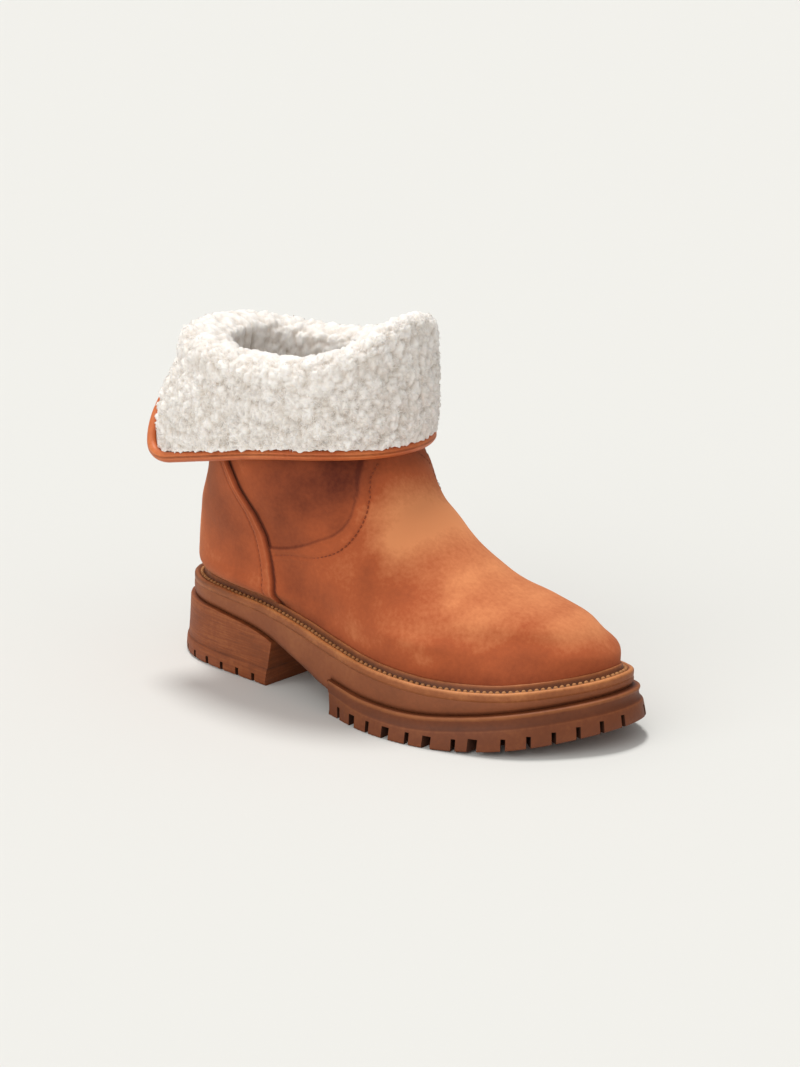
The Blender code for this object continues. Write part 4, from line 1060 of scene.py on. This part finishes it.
def makeCuff():
    columns, rowsOut = 560, 170
    t = np.linspace(0, 1, columns)
    places = t - .012 * np.sin(2 * math.pi * t)
    outer, inner = cuffKeys(places)
    index, where = np.arange(len(outer)), np.linspace(0, len(outer) - 1, rowsOut)
    grid = through(index, outer, where)
    normals = surfaceNormals(grid, closed=False)
    relief = fleeceRelief(grid, cuff["curl"])
    width = np.r_[0, np.cumsum(norm(np.diff(grid, axis=1), axis=2).mean(axis=0))]
    edge = np.minimum(width, width[-1] - width)
    a = np.tile(arcs(grid[rowsOut // 3]), (rowsOut, 1))
    b = np.r_[np.zeros((1, columns)), np.cumsum(norm(np.diff(grid, axis=0), axis=2), axis=0)]
    fade = np.clip(.12 + edge / 14, 0, 1) * np.clip(.4 + b / 6, 0, 1)
    out = (relief - .5) * cuff["depth"] + .5 * cloud(a, b, 22, 5) + .35 * cloud(a, b, 11, 8)
    points = grid + (out * fade)[..., None] * normals
    makeFuzz(points, normals)
    ragged = .5 + .5 * cloud(a[0], 0, 3.4, 9) + .4 * cloud(a[0], 0, 1.5, 12)
    points[..., 2] -= np.clip(1 - b / 4.5, 0, 1) * (1.5 * ragged - .9)
    first, ends = inner[0], through(index, inner, where)
    points = np.concatenate([first[None], (grid[0] * .35 + first * .65)[None], points])
    points[2:, [0, -1]] = ends[:, [0, -1]]
    # The fleece's tone paints the partings darker: painted shade.
    depth = np.concatenate([np.zeros((2, columns)), relief])
    makePiece("cuffFleece", points, gridFaces(rowsOut + 2, columns), creamFleece,
              np.clip((depth - .08) / .5, 0, 1), "cuff")
    skin = through(index, cuffKeys(places[::4], .45)[1], np.linspace(0, 10, 40))
    tone = .1 * cloud(skin[..., 0], skin[..., 2], 12, 3) - .15
    skin = skin - .05 * surfaceNormals(skin, closed=False)
    makePiece("cuffSkin", skin, gridFaces(*skin.shape[:2], flip=True), tanSuede, tone, "cuff")


makeCuff()


# The binding: a rolled strip round the flap's free edges and hem.
def bindingPath():
    inset = binding["width"] / 2
    radius = cuff["corner"] - inset
    path = []
    for up in np.linspace(binding["top"], cuff["corner"] / leg, 41)[:-1]:
        share = slitAt(up) + inset / collarRound
        path.append((share, hemHeight(share) + up * leg))
    for angle in np.linspace(math.pi, 1.5 * math.pi, 22):
        rise = cuff["corner"] + radius * math.sin(angle)
        share = slitAt(rise / leg) + (cuff["corner"] + radius * math.cos(angle)) / collarRound
        path.append((share, hemHeight(share) + rise))
    half = len(path)
    for share in np.linspace(cornerShare, .5, 121)[1:]:
        path.append((share, hemHeight(share) + inset))
    shares, heights = np.array(path).T
    mirrored = 1 - shares[-2::-1]
    other = hemHeight(mirrored) + (heights - hemHeight(shares))[-2::-1]
    return np.r_[shares, mirrored], np.r_[heights, other]


def makeBinding():
    share, z = bindingPath()
    up = (z - hemHeight(share)) / legHeight(share)
    centre = np.c_[legPoint(share, up, .42 * binding["thick"]), z]
    along = unit(np.gradient(centre, axis=0))
    outward = np.c_[legPoint(share, up, 1.0) - legPoint(share, up, 0.0), 0 * z]
    outward = unit(outward - along * (outward * along).sum(axis=1)[:, None])
    across = np.cross(along, outward)
    length, around = arcs(centre), 36
    rings, tones = [], []
    for angle in 2 * math.pi * np.arange(around) / around:
        crease = .04 * math.exp(-(((angle - .35) % (2 * math.pi)) - .25) ** 2 / .16)
        size = 1 - crease + .04 * cloud(length, 0, 14, 2)
        reach = binding["thick"] * math.cos(angle) * outward + binding["width"] * math.sin(angle) * across
        rings.append(centre + reach / 2 * size[:, None])
        # The crease is painted darker (painted shade), and the strip lighter on its outward face than on its
        # inward face (painted light and shade).
        tones.append(.12 * math.cos(angle) - 3.0 * crease + .1 * cloud(length, 0, 20, 4))
    count = len(length)
    last = (around - 1) * count
    faces = list(gridFaces(around, count, flip=True))
    faces += [(i + 1, i, last + i, last + i + 1) for i in range(count - 1)]
    faces += [range(0, last + 1, count), range(last + count - 1, 0, -count)]
    makePiece("cuffBinding", rings, faces, strapLeather, tones, "cuff_binding")


makeBinding()
print("cuff made")


# The fleece lining of the foot and shaft, and the insole.
def makeLining():
    levels = np.linspace(.45, 12.9, 110)
    grid = upperSurface(levels, 150)
    relief = fleeceRelief(grid, 6.0, 40)
    inside = grid - (wall + .3 + 1.6 * relief)[..., None] * surfaceNormals(grid)
    faces = gridFaces(*relief.shape, closed=True, flip=True)
    # Darker in the partings: painted shade.
    tone = np.clip(relief * 1.5 + .3, 0, 1)
    makePiece("shaftLining", inside, faces, creamFleece, tone, "upper")


def makeInsole():
    (outer, outerFacing), (inner, innerFacing) = chainOf((0, 0), (1, 1), 160)
    out = -(feather + wall + gap)
    left, right = outer + out * outerFacing, inner + out * innerFacing
    t = np.linspace(0, 1, 61)[None, :, None]
    plan = left[:, None] * (1 - t) + right[:, None] * t
    height = midsoleTop((outer[:, 0] + inner[:, 0]) / 2) + gap + 3.4
    relief = fleeceRelief(np.concatenate([plan, 0 * plan[..., :1]], axis=2), 6.0, 60)
    grid = np.concatenate([plan, (height[:, None] + 1.1 * relief)[..., None]], axis=2)
    # Darker in the partings: painted shade.
    tone = np.clip(relief * 1.5 - .1, 0, 1)
    makePiece("insoleFleece", grid, gridFaces(*relief.shape), creamFleece, tone, "insole")


makeLining()
makeInsole()
print("lining made")

# The camera stands at the photograph's angle.
view = {"azimuth": 40.0, "elevation": 16.0, "roll": 1.0, "distance": 1300.0, "lens": 83.34,
        "target": (141.0, 0.0, 89.0)}


def makeCamera():
    a, e, r = (math.radians(view[key]) for key in ("azimuth", "elevation", "roll"))
    back = np.array([math.sin(a) * math.cos(e), -math.cos(a) * math.cos(e), math.sin(e)])
    right = np.array([math.cos(a), math.sin(a), 0.0])
    up = np.cross(back, right)
    right, up = right * math.cos(r) + up * math.sin(r), -right * math.sin(r) + up * math.cos(r)
    place = (np.array(view["target"]) - shift + back * view["distance"]) / 1000
    data = bpy.data.cameras.new("camera")
    data.lens, data.clip_end = view["lens"], 50
    camera = addObject("camera", data)
    camera.matrix_world = Matrix([*np.c_[right, up, back, place].tolist(), [0, 0, 0, 1]])
    bpy.context.scene.camera = camera


makeCamera()

# Direction, strength and width in degrees of each lamp.
lamps = {
    "key": ((-.24, .14, 1.0), 2.0, 13.0),
    "front": ((-.05, -.9, .6), 1.2, 65.0),
    "fill": ((.7, -.5, .5), .4, 90.0),
}


def makeStudio():
    mesh = bpy.data.meshes.new("floor")
    mesh.from_pydata([(-25, -25, 0), (25, -25, 0), (25, 25, 0), (-25, 25, 0)], [], [(0, 1, 2, 3)])
    mesh.materials.append(startMaterial("paleFloor", {
        "Roughness": .95, "Specular IOR Level": 0.0, "Base Color": (.689, .69, .669, 1)})[0])
    addObject("floor", mesh)
    world = bpy.data.worlds.new("studio")
    world.use_nodes = True
    background = world.node_tree.nodes["Background"].inputs
    background["Color"].default_value = (1.0, .995, .985, 1)
    background["Strength"].default_value = .4
    bpy.context.scene.world = world
    for name, (direction, strength, width) in lamps.items():
        data = bpy.data.lights.new(name, "SUN")
        data.energy, data.angle, data.color = strength, math.radians(width), (1.0, .985, .96)
        light = addObject(name, data)
        light.rotation_mode = "QUATERNION"
        light.rotation_quaternion = Vector(direction).to_track_quat("Z", "Y")
    bpy.context.scene.view_settings.view_transform = "Standard"


makeStudio()
print("studio made")
